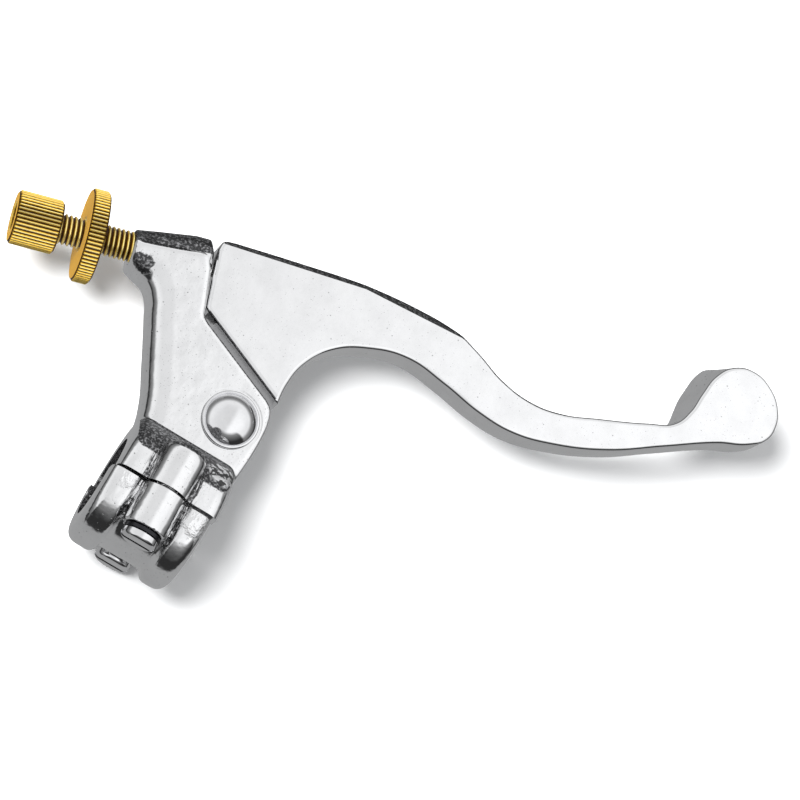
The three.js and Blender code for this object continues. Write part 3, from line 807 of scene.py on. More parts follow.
def dull_steel(name, tint):
    """Plated or blackened steel with a fine crystalline tone."""
    material = bpy.data.materials.get(name)
    if material is not None:
        return material
    material, nodes, shader, place_at, _ = new_material(name)
    crystals = nodes.noise(place_at, 900.0, 4.0, 0.65)
    patches = nodes.noise(place_at, 180.0, 2.0)
    tone = nodes.mix(nodes.ramp(crystals, 0.3, 0.7), colour(tint),
                     colour([c * 0.7 for c in tint]))
    nodes.feed(shader.inputs["Base Color"], tone)
    shader.inputs["Metallic"].default_value = 1.0
    nodes.feed(shader.inputs["Roughness"], nodes.maths("MULTIPLY_ADD", patches, 0.25, 0.2))
    bump(nodes, shader, crystals, 0.2, 0.00005)
    return material


def zinc_steel():
    return dull_steel("Zinc plated steel", settings().hardware.zinc)


def black_steel():
    return dull_steel("Blackened spring steel", settings().hardware.black)


def brass(name, grooves):
    """Machined brass: crests painted paler, partly wear and partly painted highlight, turning
    marks, and dark brown down in the grooves, partly tarnish and partly painted shade.
    """
    values = settings().brass
    material, nodes, shader, place_at, normal = new_material(name)
    mask = 0.0
    for crest, depth in grooves:
        groove = use_group(nodes, "Groove depth", groove_group, Place=place_at,
                           Crest_radius=crest * MM, Depth=depth * MM)
        mask = nodes.maths("MAXIMUM", mask, groove["Mask"])
    inside = nodes.maths("GREATER_THAN", mask, 0.0001)
    tone = nodes.noise(place_at, 420.0, 3.0, 0.6)
    stain = nodes.noise(place_at, 1300.0, 3.0, 0.7)
    rings = nodes.noise(nodes.maths("MULTIPLY", groove["Radius"], 9000.0), 1.0, 1.0)
    # Painted shade: the grooves are painted dark brown, deeper ones darker, partly also for
    # tarnish.
    darken = nodes.maths("MULTIPLY_ADD", nodes.maths("SUBTRACT", stain, 0.5), 0.6, mask)
    tarnish_and_groove_shade = nodes.ramp(darken, 0.16, 0.72)
    clean = nodes.mix(nodes.ramp(tone, 0.35, 0.7), colour(values.bright),
                      colour([c * k for c, k in zip(values.bright, (0.95, 0.86, 0.7))]))
    # Painted highlight: the crests are painted paler than the bright brass, partly also for
    # handling wear.
    crest_wear_and_highlight = nodes.maths("MULTIPLY", nodes.ramp(mask, 0.22, 0.02), inside)
    clean = nodes.mix(crest_wear_and_highlight, clean, colour(values.crests))
    along = nodes.maths("ABSOLUTE", nodes.vector("DOT_PRODUCT", normal, tuple(OUT)))
    face = nodes.ramp(along, 0.88, 0.97)
    turned_tone = nodes.mix(face, clean, colour(values.faces))
    nodes.feed(shader.inputs["Base Color"], nodes.mix(tarnish_and_groove_shade, turned_tone, colour(values.tarnish)))
    nodes.feed(shader.inputs["Metallic"], nodes.maths("MULTIPLY_ADD", face, -0.4, 0.8))
    rough = nodes.maths("MULTIPLY_ADD", tarnish_and_groove_shade, 0.25, nodes.maths("MULTIPLY_ADD", tone, 0.12, 0.1))
    rough = nodes.maths("MULTIPLY_ADD", face, 0.25, rough)
    shader.inputs["Specular IOR Level"].default_value = 0.25
    nodes.feed(shader.inputs["Roughness"], rough)
    bump(nodes, shader, nodes.maths("ADD", rings, nodes.maths("MULTIPLY", stain, 0.6)),
         0.15, 0.00004)
    return material


def bearing_bronze():
    """Plain bronze with an oily, patchy tone."""
    values = settings().hardware
    material, nodes, shader, place_at, _ = new_material("Bearing bronze")
    tone = nodes.noise(place_at, 500.0, 4.0, 0.6)
    nodes.feed(shader.inputs["Base Color"], nodes.mix(
        tone, colour(values.bronze), colour([c * 0.55 for c in values.bronze])))
    shader.inputs["Metallic"].default_value = 1.0
    nodes.feed(shader.inputs["Roughness"], nodes.maths("MULTIPLY_ADD", tone, 0.3, 0.2))
    bump(nodes, shader, tone, 0.2, 0.00005)
    return material


def locking_nylon():
    """Moulded nylon with a fine satin grain."""
    values = settings().hardware
    material, nodes, shader, place_at, _ = new_material("Locking nylon")
    grain = nodes.noise(place_at, 2200.0, 3.0, 0.6)
    nodes.feed(shader.inputs["Base Color"], nodes.mix(
        grain, colour(values.nylon), colour([c * 1.6 for c in values.nylon])))
    nodes.feed(shader.inputs["Roughness"], nodes.maths("MULTIPLY_ADD", grain, 0.2, 0.4))
    bump(nodes, shader, grain, 0.25, 0.00004)
    return material


# ---------------------------------------------------------------- castings

def rounded_ends(radius, ends, edge=CLAMP_EDGE):
    """Outside of a turned clamp ring, from one end face to the other."""
    left = arc((radius - edge, ends[0] + edge), edge, -90, 0)
    right = arc((radius - edge, ends[1] - edge), edge, 0, 90)
    return left, right


def perch_ring():
    left, right = rounded_ends(CLAMP_R, PERCH_ENDS)
    return place(turned("ring", [(0, PERCH_ENDS[0]), *left, *right, (0, PERCH_ENDS[1])], 128),
                 ALONG_BAR)


def cap_ring():
    """Two round ribs with a lower web between them."""
    left, right = rounded_ends(CAP_RIB_R, CAP_ENDS)
    inner = 1.6
    foot = CAP_RIB_INNER - 1.2
    profile = [
        (0, CAP_ENDS[0]), *left,
        *arc((CAP_RIB_R - inner, -CAP_RIB_INNER - inner), inner, 0, 80),
        (CAP_WEB_R, -foot), (CAP_WEB_R, foot),
        *arc((CAP_RIB_R - inner, CAP_RIB_INNER + inner), inner, -80, 0),
        *right, (0, CAP_ENDS[1]),
    ]
    return place(turned("ring", profile, 128), ALONG_BAR)


def perch_lug(side):
    """A screw lug with a domed crown."""
    crown = 3.6
    top = PERCH_LUG_TOP
    profile = [(0, -2), (LUG_R, -2), *arc((LUG_R - crown, top - crown), crown, 0, 90, 8), (0, top)]
    return on_screw(turned("lug", profile), side)


def cap_lug(side):
    edge = 0.35
    profile = [(0, CAP_LUG_BOTTOM), *arc((LUG_R - edge, CAP_LUG_BOTTOM + edge), edge, -90, 0, 3),
               (LUG_R, 2), (0, 2)]
    return on_screw(turned("lug", profile), side)


def neck_bead():
    """The large rounding down the neck's outer side, as a section swept along its line."""
    flat = NECK_HALF - BEAD_R
    section = bpy.data.curves.new("section", "CURVE")
    section.dimensions = "2D"
    ring = section.splines.new("POLY")
    points = []
    for i in range(33):
        angle = math.pi * i / 32
        points.append((BEAD_R * math.cos(angle), flat + BEAD_R * math.sin(angle)))
    points += [(-x, -y) for x, y in points]
    ring.points.add(len(points) - 1)
    for point, (x, y) in zip(ring.points, points):
        point.co = (x, y, 0, 1)
    ring.use_cyclic_u = True
    section_object = bpy.data.objects.new("section", section)
    bpy.context.scene.collection.objects.link(section_object)
    path = bpy.data.curves.new("bead", "CURVE")
    path.dimensions = "3D"
    path.twist_mode = "Z_UP"
    path.resolution_u = 10
    line = path.splines.new("BEZIER")
    line.bezier_points.add(len(BEAD_LINE) - 1)
    for point, (x, y) in zip(line.bezier_points, BEAD_LINE):
        point.co = (x, y, 0)
        point.handle_left_type = "AUTO"
        point.handle_right_type = "AUTO"
    path.bevel_mode = "OBJECT"
    path.bevel_object = section_object
    path.use_fill_caps = True
    bead = bpy.data.objects.new("bead", path)
    bpy.context.scene.collection.objects.link(bead)
    pick(bead)
    bpy.ops.object.convert(target="MESH")
    bead = bpy.context.object
    bpy.data.objects.remove(section_object)
    return tidy_mesh(bead, 1e-3)


def adjuster_boss():
    crown = 1.2
    past = 1.0
    return on_adjuster(turned("boss", [
        (0, -BOSS_LENGTH), (BOSS_R - 2 * crown, -BOSS_LENGTH), (BOSS_R, -BOSS_LENGTH + crown),
        (BOSS_R, -BOSS_LENGTH * 0.75), (BOSS_MOUTH_R + crown, -BOSS_LENGTH * 0.3),
        (BOSS_MOUTH_R, past), (0, past),
    ]))


def beside_bead(distance):
    """The bead line moved outwards from the neck."""
    points = [Vector(point) for point in BEAD_LINE]
    moved = []
    for i, point in enumerate(points):
        along = points[min(i + 1, len(points) - 1)] - points[max(i - 1, 0)]
        sideways = Vector((-along.y, along.x)).normalized()
        moved.append((*(point + sideways * distance), SMOOTH))
    return moved


def lever_slot():
    """Room for the lever's root, round about the pivot and open towards the lever."""
    start = math.radians(192)
    end = math.radians(270)
    outline = [(-10.7, 61.6, CORNER), (-10.7, 45.0, CORNER)]
    for i in range(17):
        angle = start + (end - start) * i / 16
        outline.append((PIVOT.x + SLOT_R * math.cos(angle), PIVOT.y + SLOT_R * math.sin(angle),
                        CORNER))
    outline += [(30, PIVOT.y - SLOT_R, CORNER), (30.7, 61.6, CORNER)]
    return slab("slot", outline, -SLOT_HALF, SLOT_HALF)


def rod(name, radius, start, end, steps=64):
    return turned(name, [(0, start), (radius, start), (radius, end), (0, end)], steps)


def bar_bore():
    return place(rod("bore", BAR_R, CAP_ENDS[0] - 4, PERCH_ENDS[1] + 4, 128), ALONG_BAR)


def screw_hole(side):
    return on_screw(rod("hole", SCREW_R + FIT, CAP_LUG_BOTTOM - 2, SCREW_END + 1), side)


def pivot_hole():
    past = NECK_HALF + 2
    hole = SHANK_R + FIT
    floor = NECK_HALF - HEAD_RECESS
    return on_pivot(turned("hole", [
        (0, -past), (hole, -past), (hole, floor), (HEAD_RECESS_R, floor), (HEAD_RECESS_R, past),
        (0, past),
    ]))


def adjuster_hole():
    bore = THREAD_R + FIT
    return on_adjuster(turned("hole", [
        (0, -BOSS_LENGTH - 2), (CABLE_HOLE_R, -BOSS_LENGTH - 2), (CABLE_HOLE_R, -THREAD_HOLE),
        (bore, -THREAD_HOLE), (bore, -0.5), (bore + 0.5, 0), (bore + 0.5, 2), (0, 2),
    ]))


def crown_mark():
    """A short dent on the crown of the upper perch lug."""
    mark = block("mark", (-1.4, -0.28, -1), (1.4, 0.28, 1))
    turn = Matrix.Rotation(math.radians(-12), 3, "Z")
    return place(mark, turn, (1.9, 6.4, LUG_Z + LUG_R + 0.4))


def mouth_corner():
    """Takes the corner off the bead beside the adjuster's mouth."""
    side = Vector((-OUT.y, OUT.x, 0))
    corner = block("corner", (-4, -6, -NECK_HALF - 2), (4, 0, NECK_HALF + 2))
    way = (OUT + side).normalized()
    turn = Matrix.Rotation(math.atan2(way.y, way.x) + QUARTER_TURN, 3, "Z")
    return place(corner, turn, MOUTH + side * 7.2 - way * 1.6)


def perch():
    values = settings().casting
    rim = 1.0
    neck = slab("neck", [*beside_bead(rim), *NECK_OUTLINE], -NECK_HALF, NECK_HALF, rim)
    bead = neck_bead()
    cut(bead, mouth_corner())
    step = values.grain / MM
    parts = [neck, bead, adjuster_boss()]
    for part in parts:
        trim(part, MOUTH, OUT)
    casting = fuse("perch", [perch_ring(), *parts, perch_lug(1), perch_lug(-1)], step,
                   values.softness)
    trim(casting, (0, SPLIT_HALF, 0), (0, -1, 0))
    cut_together(casting, bar_bore(), screw_hole(1), screw_hole(-1), pivot_hole(), adjuster_hole(),
                 crown_mark())
    cut(casting, lever_slot())
    rough = [((-32.5, 50.6, NECK_HALF), 3.4)]
    dimpled = [((11, 13, 14), 6.0)]
    start, end = (Vector((*point[:2], 0)) for point in NECK_OUTLINE[:2])
    along = (end - start).normalized()
    material = cast_aluminium("Perch aluminium", 0.55, SLOT_HALF + 0.2, 1.6, rough, dimpled,
                              (start, Vector((-along.y, along.x, 0))), streaks=True)
    return finish(casting, "perch_casting", "perch", material, ["perch_body"])


def clamp_cap():
    values = settings().casting
    casting = fuse("cap", [cap_ring(), cap_lug(1), cap_lug(-1)], values.grain / MM,
                   values.softness)
    trim(casting, (0, -SPLIT_HALF, 0), (0, 1, 0))
    cut_together(casting, bar_bore(), screw_hole(1), screw_hole(-1))
    dimpled = [((10, -3, 17), 4.0), ((-10, -2, 17), 3.0)]
    material = cast_aluminium("Cap aluminium", 0.42, 0.0, 2.2, (), dimpled, streaks=True)
    return finish(casting, "cap_casting", "perch", material, ["clamp_cap"])


def ramp(value, low, high):
    share = min(max((value - low) / (high - low), 0.0), 1.0)
    return share * share * (3 - 2 * share)


def spread_ball(piece, flare, rim):
    """Pushes the ball end's wall outwards, more and more towards its underside."""
    top = BLADE_HALF - rim
    for vertex in piece.data.vertices:
        place_at = Vector((vertex.co.x, vertex.co.y))
        depth = min(max((top - vertex.co.z) / (top + top), 0.0), 1.0)
        near = ramp((place_at - FLARE_CENTRE).length, 18.0, 9.0)
        side = ramp((place_at - BALL).dot(FLARE_WAY), -2.0, 4.0)
        above_neck = ramp(place_at.y, 90.0, 100.0)
        place_at += FLARE_WAY * flare * near * side * above_neck * depth
        vertex.co.x = place_at.x
        vertex.co.y = place_at.y


def edge_chamfer(start, end, side):
    """A wedge that takes the corner off the head's outer edge, on its upper or lower side."""
    along = Vector(end) - Vector(start)
    half = along.length / 2 + 1.0
    wedge = block("wedge", (-half, -5, 0), (half, 8, 6))
    tilt = math.radians(45 if side > 0 else 135)
    turn = Matrix.Rotation(math.atan2(along.y, along.x), 3, "Z") @ Matrix.Rotation(-tilt, 3, "X")
    inwards = Vector((along.y, -along.x)).normalized() * HEAD_CHAMFER
    middle = (Vector(start) + Vector(end)) / 2 + inwards
    return place(wedge, turn, (middle.x, middle.y, side * BLADE_HALF))


def tongue():
    """The thin root between the ears."""
    start = math.radians(192)
    end = math.radians(380)
    outline = [(-8.6, 51.1, CORNER), (-8.6, 46.0, CORNER)]
    for i in range(25):
        angle = start + (end - start) * i / 24
        outline.append((PIVOT.x + TONGUE_R * math.cos(angle),
                        PIVOT.y + TONGUE_R * math.sin(angle), CORNER))
    outline += [(14.3, 39.6, CORNER), (15.0, 44.6, CORNER)]
    return slab("tongue", outline, -TONGUE_HALF, TONGUE_HALF)


def nipple_pocket():
    """Pocket for the cable's end nipple, open from below, with the wire's slot."""
    centre = along_adjuster(-NIPPLE_ALONG)
    below = -BLADE_HALF - 1
    hole = place(rod("pocket", NIPPLE_R, below, NIPPLE_TOP), move=centre)
    slot = block("wire slot", (-1.0, -WIRE_SLOT_W / 2, below),
                 (NIPPLE_ALONG - BOSS_LENGTH + 4, WIRE_SLOT_W / 2, WIRE_SLOT_TOP))
    place(slot, Matrix.Rotation(math.pi + ADJUSTER_TURN, 3, "Z"), centre)
    return hole, slot


def lever():
    values = settings().casting
    rim = values.rim / MM
    blade = slab("blade", BLADE_OUTLINE, -BLADE_HALF, BLADE_HALF, rim)
    combine("UNION", blade, [tongue()])
    bush_hole = on_pivot(rod("hole", BUSH_R + FIT, -BLADE_HALF, BLADE_HALF))
    cut(blade, bush_hole, *nipple_pocket())
    for start, end in HEAD_EDGES:
        cut(blade, edge_chamfer(start, end, 1), edge_chamfer(start, end, -1))
    spread_ball(blade, values.flare / MM, rim)
    material = cast_aluminium("Lever aluminium", 0.2, TONGUE_HALF + 0.2, 0.5,
                              skin_to=LEVER_SKIN_TO * MM)
    finish(blade, "lever_casting", "lever", material, ["lever_blade"])
    apply_modifier(blade, "WEIGHTED_NORMAL", weight=100, keep_sharp=True)
    return blade


# ---------------------------------------------------------------- pivot hardware

def ring(name, outer, inner, low, high, edge):
    """A washer or bush with softened corners."""
    return turned(name, [
        (inner, low + edge), (inner + edge, low), (outer - edge, low), (outer, low + edge),
        (outer, high - edge), (outer - edge, high), (inner + edge, high), (inner, high - edge),
    ])


def ridges(radius, start, end):
    """Profile points of a steel screw's thread, as one plain ridge for each turn."""
    points = []
    height = start
    while height < end:
        points += [(radius - RIDGE_DEPTH, height), (radius, height + 0.4), (radius, height + 0.6)]
        height += RIDGE_PITCH
    return points


def domed_bolt():
    """Pivot bolt: a dome that rises from a flat rim, a plain shoulder and a threaded end."""
    seat = NECK_HALF - HEAD_RECESS + SEAT
    shoulder = -NECK_HALF + SEAT
    rim_top = seat + HEAD_RIM
    dome_r = HEAD_R - 0.85
    rise = HEAD_RISE
    ball = (dome_r * dome_r + rise * rise) / (2 * rise)
    half = math.degrees(math.asin(dome_r / ball))
    dome = arc((0, rim_top + rise - ball), ball, 90 - half, 90, 20)
    groove = 0.25
    thread = ridges(BOLT_THREAD_R, BOLT_END + 0.6, shoulder - 1)
    return on_pivot(turned("bolt", [
        (0, BOLT_END), (BOLT_THREAD_R - 0.6, BOLT_END), *thread,
        (BOLT_THREAD_R - RIDGE_DEPTH, shoulder), (SHANK_R, shoulder), (SHANK_R, seat),
        (HEAD_R - 0.2, seat), (HEAD_R, seat + 0.2),
        *arc((HEAD_R - 0.4, rim_top - 0.4), 0.4, 0, 90, 5),
        (dome_r + groove, rim_top), (dome_r + groove / 2, rim_top - groove), *dome,
    ], 128))


def pivot_nut():
    """Self-locking nut: six chamfered flats and a round collar."""
    top = -NECK_HALF - NUT_WASHER_T - 2 * SEAT
    bottom = top - NUT_H
    corner = NUT_FLATS / 2 / math.cos(math.pi / 6)
    chamfer = 0.8
    body = rod("nut", corner, bottom, top, 6)
    blank = turned("blank", [
        (0, bottom), (NUT_FLATS / 2, bottom), (corner + SEAT, bottom + chamfer),
        (corner + SEAT, top - chamfer), (NUT_FLATS / 2, top), (0, top),
    ])
    combine("INTERSECT", body, [blank])
    end = bottom - NUT_COLLAR_H
    collar = turned("collar", [
        (0, end), (NUT_COLLAR_R - 0.7, end),
        *arc((NUT_COLLAR_R - 0.7, end + 0.7), 0.7, -90, 0), (NUT_COLLAR_R, bottom + SEAT),
        (0, bottom + SEAT),
    ])
    combine("UNION", body, [collar])
    cut(body, rod("hole", BOLT_THREAD_R + FIT, end - 1, top + 1))
    cut(body, rod("pocket", NYLON_R + SEAT, end - 1, end + NYLON_H + 2 * SEAT))
    apply_modifier(body, "BEVEL", width=0.12, segments=2, limit_method="ANGLE",
                   angle_limit=math.radians(40))
    return on_pivot(body)


def pivot_parts():
    near = TONGUE_HALF + SEAT
    washer_top = -NECK_HALF - SEAT
    nut_top = -NECK_HALF - NUT_WASHER_T - 2 * SEAT
    nylon_low = nut_top - NUT_H - NUT_COLLAR_H + SEAT
    finish(domed_bolt(), "domed_pivot_bolt", "perch", plated_steel(),
           ["pivot_bolt"])
    finish(on_pivot(ring("bush", BUSH_R, SHANK_R + FIT, -TONGUE_HALF, TONGUE_HALF, 0.25)),
           "bronze_bush", "lever", bearing_bronze(), ["pivot_bush"])
    for name, low in (("upper", near), ("lower", -near - THRUST_T)):
        finish(on_pivot(ring("thrust", THRUST_R, SHANK_R + FIT, low, low + THRUST_T, 0.1)),
               f"thrust_washer_{name}_plate", "lever", zinc_steel(),
               [f"thrust_washer_{name}"])
    finish(on_pivot(ring("washer", NUT_WASHER_R, BOLT_THREAD_R + FIT, washer_top - NUT_WASHER_T,
                         washer_top, 0.2)),
           "nut_flat_washer", "perch", zinc_steel(), ["pivot_nut_washer"])
    finish(pivot_nut(), "self_locking_nut", "perch", zinc_steel(), ["pivot_nut"])
    finish(on_pivot(ring("nylon", NYLON_R, BOLT_THREAD_R + FIT, nylon_low, nylon_low + NYLON_H,
                         0.2)),
           "nylon_locking_ring", "perch", locking_nylon(), ["pivot_nut_insert"])


# ---------------------------------------------------------------- clamp hardware

def clamp_screw(side):
    """Pan-head screw with a slot, standing in its lug."""
    seat = CAP_LUG_BOTTOM - WASHER_T - 2 * SEAT
    low = seat - SCREW_HEAD_H
    crown = 1.3
    thread = ridges(SCREW_R, seat + 2, SCREW_END - 1.2)
    body = turned("screw", [
        (0, low), (SCREW_HEAD_R - crown, low),
        *arc((SCREW_HEAD_R - crown, low + crown), crown, -90, 0, 8), (SCREW_HEAD_R, seat - 0.15),
        (SCREW_HEAD_R - 0.15, seat), (SCREW_R, seat), (SCREW_R, seat + 2), *thread,
        (SCREW_R - RIDGE_DEPTH, SCREW_END - 0.6), (SCREW_R * 2 / 3, SCREW_END), (0, SCREW_END),
    ])
    slot = block("slot", (-SCREW_HEAD_R * 1.2, -0.7, low - 1), (SCREW_HEAD_R * 1.2, 0.7, low + 1))
    cut(body, slot)
    return on_screw(body, side)


def lock_washer(side):
    """Split spring washer."""
    top = CAP_LUG_BOTTOM - SEAT
    washer = ring("lock", WASHER_R, SCREW_R + FIT, top - WASHER_T, top, 0.12)
    gap = block("gap", (0, -0.5, top - WASHER_T - 1), (WASHER_R + 1, 0.5, top + 1))
    place(gap, Matrix.Rotation(side * math.pi / 3, 3, "Z"))
    cut(washer, gap)
    return on_screw(washer, side)


def clamp_parts():
    for name, side in (("upper", 1), ("lower", -1)):
        finish(clamp_screw(side), f"pan_head_screw_{name}", "perch",
               plated_steel(), [f"clamp_screw_{name}"])
        finish(lock_washer(side), f"split_washer_{name}", "perch", black_steel(),
               [f"lock_washer_{name}"])


# ---------------------------------------------------------------- adjuster

def fluted_rim(name, radius, flutes, start, end, edge):
    """A rim of straight round flutes whose corners are turned off at both ends."""
    deselect_all()
    per_flute = 6
    bpy.ops.mesh.primitive_cylinder_add(vertices=flutes * per_flute, radius=radius,
                                        depth=end - start, location=(0, 0, (start + end) / 2))
    rim = bpy.context.object
    rim.name = name
    bpy.ops.object.transform_apply(location=True, rotation=True, scale=True)
    for vertex in rim.data.vertices:
        angle = math.atan2(vertex.co.y, vertex.co.x)
        wave = (1 + math.cos(flutes * angle)) / 2
        reach = radius - FLUTE_DEPTH * (1 - wave ** 0.7)
        vertex.co.x = reach * math.cos(angle)
        vertex.co.y = reach * math.sin(angle)
    over = 0.05
    blank = turned("blank", [
        (0, start), (radius - edge, start), (radius + over, start + edge),
        (radius + over, end - edge), (radius - edge, end), (0, end),
    ], 128)
    return combine("INTERSECT", rim, [blank])


def thread_stem(low, high, facets):
    """A helical thread: one tooth that the screw modifier turns and raises, cut at its ends."""
    root = THREAD_R - THREAD_DEPTH
    tooth = [(root, 0.0), (root, 0.12), (THREAD_R - 0.05, 0.52), (THREAD_R, 0.6),
             (THREAD_R, 0.7), (THREAD_R - 0.05, 0.78), (root, 1.18), (root, THREAD_PITCH)]
    stem = profile_line("stem", tooth, low - THREAD_PITCH)
    bpy.ops.object.mode_set(mode="OBJECT")
    turns = math.ceil((high - low) / THREAD_PITCH) + 2
    apply_modifier(stem, "SCREW", axis="Z", angle=FULL_TURN, screw_offset=THREAD_PITCH,
                   iterations=turns, steps=facets, render_steps=facets, use_merge_vertices=True,
                   merge_threshold=0.001)
    tidy_mesh(stem, 1e-3)
    trim(stem, (0, 0, low), (0, 0, -1))
    trim(stem, (0, 0, high), (0, 0, 1))
    return tidy_mesh(stem, 1e-3)


def cable_adjuster():
    end = BARREL_START + BARREL_LENGTH
    stem = thread_stem(-THREAD_IN, BARREL_START + 0.5, settings().brass.facets)
    barrel = fluted_rim("barrel", BARREL_R, BARREL_FLUTES, BARREL_START, end, 0.7)
    combine("UNION", stem, [barrel])
    drill = turned("drill", [
        (0, -THREAD_IN - 1), (WIRE_R, -THREAD_IN - 1), (WIRE_R, end - FERRULE_DEPTH - 0.8),
        (FERRULE_R, end - FERRULE_DEPTH), (FERRULE_R, end - 0.5), (FERRULE_R + 1.0, end + 0.5),
        (0, end + 0.5),
    ])
    cut(stem, drill)
    material = brass("Adjuster brass", [(THREAD_R, THREAD_DEPTH), (BARREL_R, FLUTE_DEPTH)])
    return keep_out_of_reflections(finish(
        on_adjuster(stem), "threaded_adjuster", "adjuster", material,
        ["cable_adjuster"], sharp=30))


def lock_ring():
    end = RING_START + RING_T
    rim = fluted_rim("ring", RING_R, RING_FLUTES, RING_START, end, 0.6)
    bore = THREAD_R + FIT
    drill = turned("drill", [
        (0, RING_START - 1), (bore + 1.5, RING_START - 1), (bore, RING_START + 0.5),
        (bore, end - 0.5), (bore + 1.5, end + 1), (0, end + 1),
    ])
    cut(rim, drill)
    material = brass("Lock ring brass", [(RING_R, FLUTE_DEPTH)])
    return keep_out_of_reflections(finish(
        on_adjuster(rim), "fluted_lock_ring", "lock_ring", material,
        ["adjuster_lock_ring"], sharp=30))


# ---------------------------------------------------------------- stage

# In metres. The camera looks down, 22 degrees off the vertical and turned by 28 degrees.
CAMERA_RIGHT = Vector((0.84385, 0.44406, 0.30119))
CAMERA_BACK = Vector((-0.15416, -0.33702, 0.92879))
CAMERA_AT = (-0.0687, -0.1865, 0.6744)
FLOOR_SIZE = 8.0
KEY_WAY = (-0.498, -0.119, 0.859)
KEY_DISTANCE = 0.9
KEY_SIZE = 0.5
MIDDLE = Vector((0.04, 0.05, 0.0))

# Brightness of the tent by height, where 0 is straight down, 0.5 level and 1 straight up.
SIDE_BANDS = [
    (0.0, 0.36), (0.3, 0.36), (0.335, 0.03), (0.385, 0.03), (0.44, 0.15), (0.56, 0.3),
    (0.65, 0.95), (1.0, 1.0),
]
FRONT_BANDS = [
    (0.0, 0.36), (0.35, 0.36), (0.41, 0.03), (0.6, 0.03), (0.72, 0.14), (0.8, 0.26),
    (0.87, 1.0), (1.0, 1.0),
]
FRONT_WAY = (0.33, -0.94, 0.0)
DIFFUSE_LOSS = 0.35              # share of the tent's light that dull surfaces don't receive


def keep_out_of_reflections(item):
    item.visible_glossy = False
    return item


def floor():
    """A wide pale floor that the object lies on."""
    deselect_all()
    lowest = min(corner[2] for corner in CAD_BOX)
    bpy.ops.mesh.primitive_plane_add(size=FLOOR_SIZE, location=(0.05, 0.05, lowest))
    ground = bpy.context.object
    ground.name = "studio_floor"
    bpy.ops.object.transform_apply(location=True, rotation=True, scale=True)
    material, nodes, shader, place_at, _ = new_material("Studio floor")
    soft = nodes.noise(place_at, 6.0, 2.0)
    nodes.feed(shader.inputs["Base Color"], nodes.mix(soft, colour((0.93, 0.935, 0.94)),
                                                      colour((0.95, 0.955, 0.96))))
    shader.inputs["Roughness"].default_value = 0.9
    shader.inputs["Specular IOR Level"].default_value = 0.0
    ground.data.materials.append(material)
    keep_out_of_reflections(ground)


def camera():
    right = CAMERA_RIGHT.normalized()
    back = CAMERA_BACK.normalized()
    up = back.cross(right).normalized()
    data = bpy.data.cameras.new("camera")
    data.sensor_width = 36.0
    data.lens = settings().stage.focal
    data.clip_start = 0.01
    data.clip_end = 50
    viewer = bpy.data.objects.new("camera", data)
    bpy.context.scene.collection.objects.link(viewer)
    turn = Matrix((right, up, back)).transposed().to_4x4()
    viewer.matrix_world = Matrix.Translation(CAMERA_AT) @ turn
    bpy.context.scene.camera = viewer


def banded(nodes, rise, stops):
    """Brightness of the tent by height, from straight down to straight up."""
    bands = nodes.add("ShaderNodeValToRGB")
    nodes.feed(bands.inputs["Fac"], rise)
    elements = bands.color_ramp.elements
    while len(elements) < len(stops):
        elements.new(0.5)
    for element, (position, level) in zip(elements, stops):
        element.position = position
        element.color = (level * 0.985, level * 0.992, level, 1)
    return bands.outputs["Color"]


def studio_tent():
    """A white tent with a dark horizon, a dark opening in front and a grey table below.

    The camera sees plain white in its place, and dull surfaces receive only part of its light.
    """
    world = bpy.data.worlds.new("studio tent")
    bpy.context.scene.world = world
    world.use_nodes = True
    nodes = Nodes(world.node_tree)
    background = world.node_tree.nodes["Background"]
    way = nodes.add("ShaderNodeTexCoord").outputs["Generated"]
    split = nodes.add("ShaderNodeSeparateXYZ")
    nodes.feed(split.inputs[0], way)
    rise = nodes.maths("MULTIPLY_ADD", split.outputs["Z"], 0.5, 0.5)
    sides = banded(nodes, rise, SIDE_BANDS)
    front = banded(nodes, rise, FRONT_BANDS)
    ahead = nodes.vector("DOT_PRODUCT", way, FRONT_WAY)
    shape = nodes.mix(nodes.ramp(ahead, 0.5, 0.6), sides, front)
    overhead = nodes.ramp(split.outputs["Z"], 0.4, 0.8)
    across = nodes.ramp(split.outputs["X"], -0.05, 0.28, -0.16, 0.15)
    gain = nodes.maths("MULTIPLY_ADD", overhead, across, 1.0)
    level = nodes.vector("SCALE", shape)
    nodes.feed(level.node.inputs["Scale"], nodes.maths("MULTIPLY", gain, settings().stage.sky))
    path = nodes.add("ShaderNodeLightPath")
    soft = nodes.mix(nodes.maths("MULTIPLY", path.outputs["Is Diffuse Ray"], DIFFUSE_LOSS), level,
                     colour((0.0, 0.0, 0.0)))
    seen = nodes.mix(path.outputs["Is Camera Ray"], soft, colour((1.0, 1.0, 1.0)))
    nodes.feed(background.inputs["Color"], seen)


def key_light():
    """The soft round lamp that casts the shadow."""
    data = bpy.data.lights.new("key light", "AREA")
    data.shape = "DISK"
    data.size = KEY_SIZE
    data.energy = settings().stage.key_power
    lamp = bpy.data.objects.new("key light", data)
    bpy.context.scene.collection.objects.link(lamp)
    way = Vector(KEY_WAY).normalized()
    lamp.location = MIDDLE + way * KEY_DISTANCE
    lamp.rotation_euler = way.to_track_quat("Z", "Y").to_euler()
    keep_out_of_reflections(lamp)


def stage():
    bpy.context.scene.view_settings.view_transform = "Standard"
    camera()
    floor()
    studio_tent()
    key_light()


# ---------------------------------------------------------------- operators

class PieceOperator:
    """Shared by the operators: builds pieces and reports that it finished."""
    bl_options = {"REGISTER", "UNDO"}
    build = None

    def execute(self, context):
        type(self).build()
        deselect_all()
        return {"FINISHED"}


class CLUTCH_OT_perch(PieceOperator, bpy.types.Operator):
    """Casts the perch with its neck, ears, adjuster boss and clamp half"""
    bl_idname = "clutch.perch"
    bl_label = "Perch"
    build = staticmethod(perch)


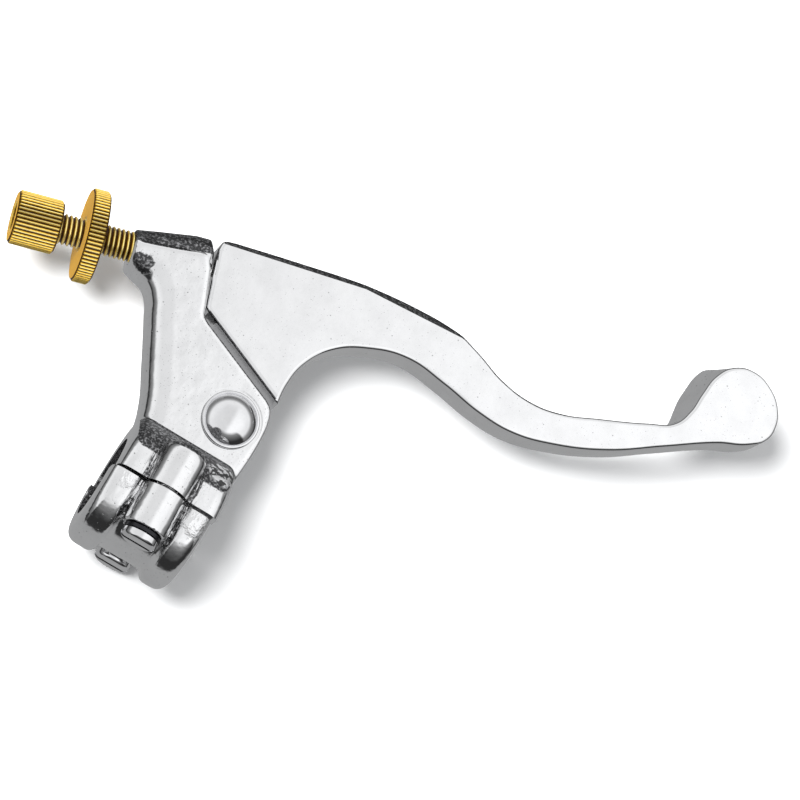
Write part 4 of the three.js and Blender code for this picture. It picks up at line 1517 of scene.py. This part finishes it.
class CLUTCH_OT_cap(PieceOperator, bpy.types.Operator):
    """Casts the clamp's ribbed cap"""
    bl_idname = "clutch.cap"
    bl_label = "Clamp cap"
    build = staticmethod(clamp_cap)


class CLUTCH_OT_lever(PieceOperator, bpy.types.Operator):
    """Casts the lever with its ball end, root and nipple pocket"""
    bl_idname = "clutch.lever"
    bl_label = "Lever"
    build = staticmethod(lever)


class CLUTCH_OT_pivot(PieceOperator, bpy.types.Operator):
    """Turns the pivot bolt, bush, washers and self-locking nut"""
    bl_idname = "clutch.pivot"
    bl_label = "Pivot hardware"
    build = staticmethod(pivot_parts)


class CLUTCH_OT_clamp(PieceOperator, bpy.types.Operator):
    """Turns the clamp screws and their split washers"""
    bl_idname = "clutch.clamp"
    bl_label = "Clamp hardware"
    build = staticmethod(clamp_parts)


class CLUTCH_OT_adjuster(PieceOperator, bpy.types.Operator):
    """Threads the cable adjuster and flutes its barrel"""
    bl_idname = "clutch.adjuster"
    bl_label = "Cable adjuster"
    build = staticmethod(cable_adjuster)


class CLUTCH_OT_ring(PieceOperator, bpy.types.Operator):
    """Flutes the adjuster's lock ring"""
    bl_idname = "clutch.ring"
    bl_label = "Lock ring"
    build = staticmethod(lock_ring)


class CLUTCH_OT_stage(PieceOperator, bpy.types.Operator):
    """Sets the floor, the lights and the camera"""
    bl_idname = "clutch.stage"
    bl_label = "Stage"
    build = staticmethod(stage)


PIECE_OPERATORS = (
    CLUTCH_OT_stage, CLUTCH_OT_perch, CLUTCH_OT_cap, CLUTCH_OT_lever, CLUTCH_OT_pivot,
    CLUTCH_OT_clamp, CLUTCH_OT_adjuster, CLUTCH_OT_ring,
)


class CLUTCH_PT_panel(bpy.types.Panel):
    """Lists the lever's pieces and settings"""
    bl_idname = "CLUTCH_PT_panel"
    bl_label = "Clutch lever"
    bl_space_type = "VIEW_3D"
    bl_region_type = "UI"
    bl_category = "Clutch lever"

    def draw(self, context):
        values = context.scene.clutch_lever
        for part in (values.casting, values.hardware, values.brass, values.stage):
            box = self.layout.box()
            for key in part.__annotations__:
                box.prop(part, key)
        for operator in PIECE_OPERATORS:
            self.layout.operator(operator.bl_idname)


CLASSES = (
    CastingSettings, HardwareSettings, BrassSettings, StageSettings, ClutchLeverSettings,
    *PIECE_OPERATORS, CLUTCH_PT_panel,
)


def register():
    for item in CLASSES:
        bpy.utils.register_class(item)
    bpy.types.Scene.clutch_lever = bpy.props.PointerProperty(type=ClutchLeverSettings)


def unregister():
    del bpy.types.Scene.clutch_lever
    for item in reversed(CLASSES):
        bpy.utils.unregister_class(item)


def main():
    register()
    bpy.ops.clutch.stage()
    bpy.ops.clutch.perch()
    bpy.ops.clutch.cap()
    bpy.ops.clutch.lever()
    bpy.ops.clutch.pivot()
    bpy.ops.clutch.clamp()
    bpy.ops.clutch.adjuster()
    bpy.ops.clutch.ring()


if __name__ == "__main__":
    main()
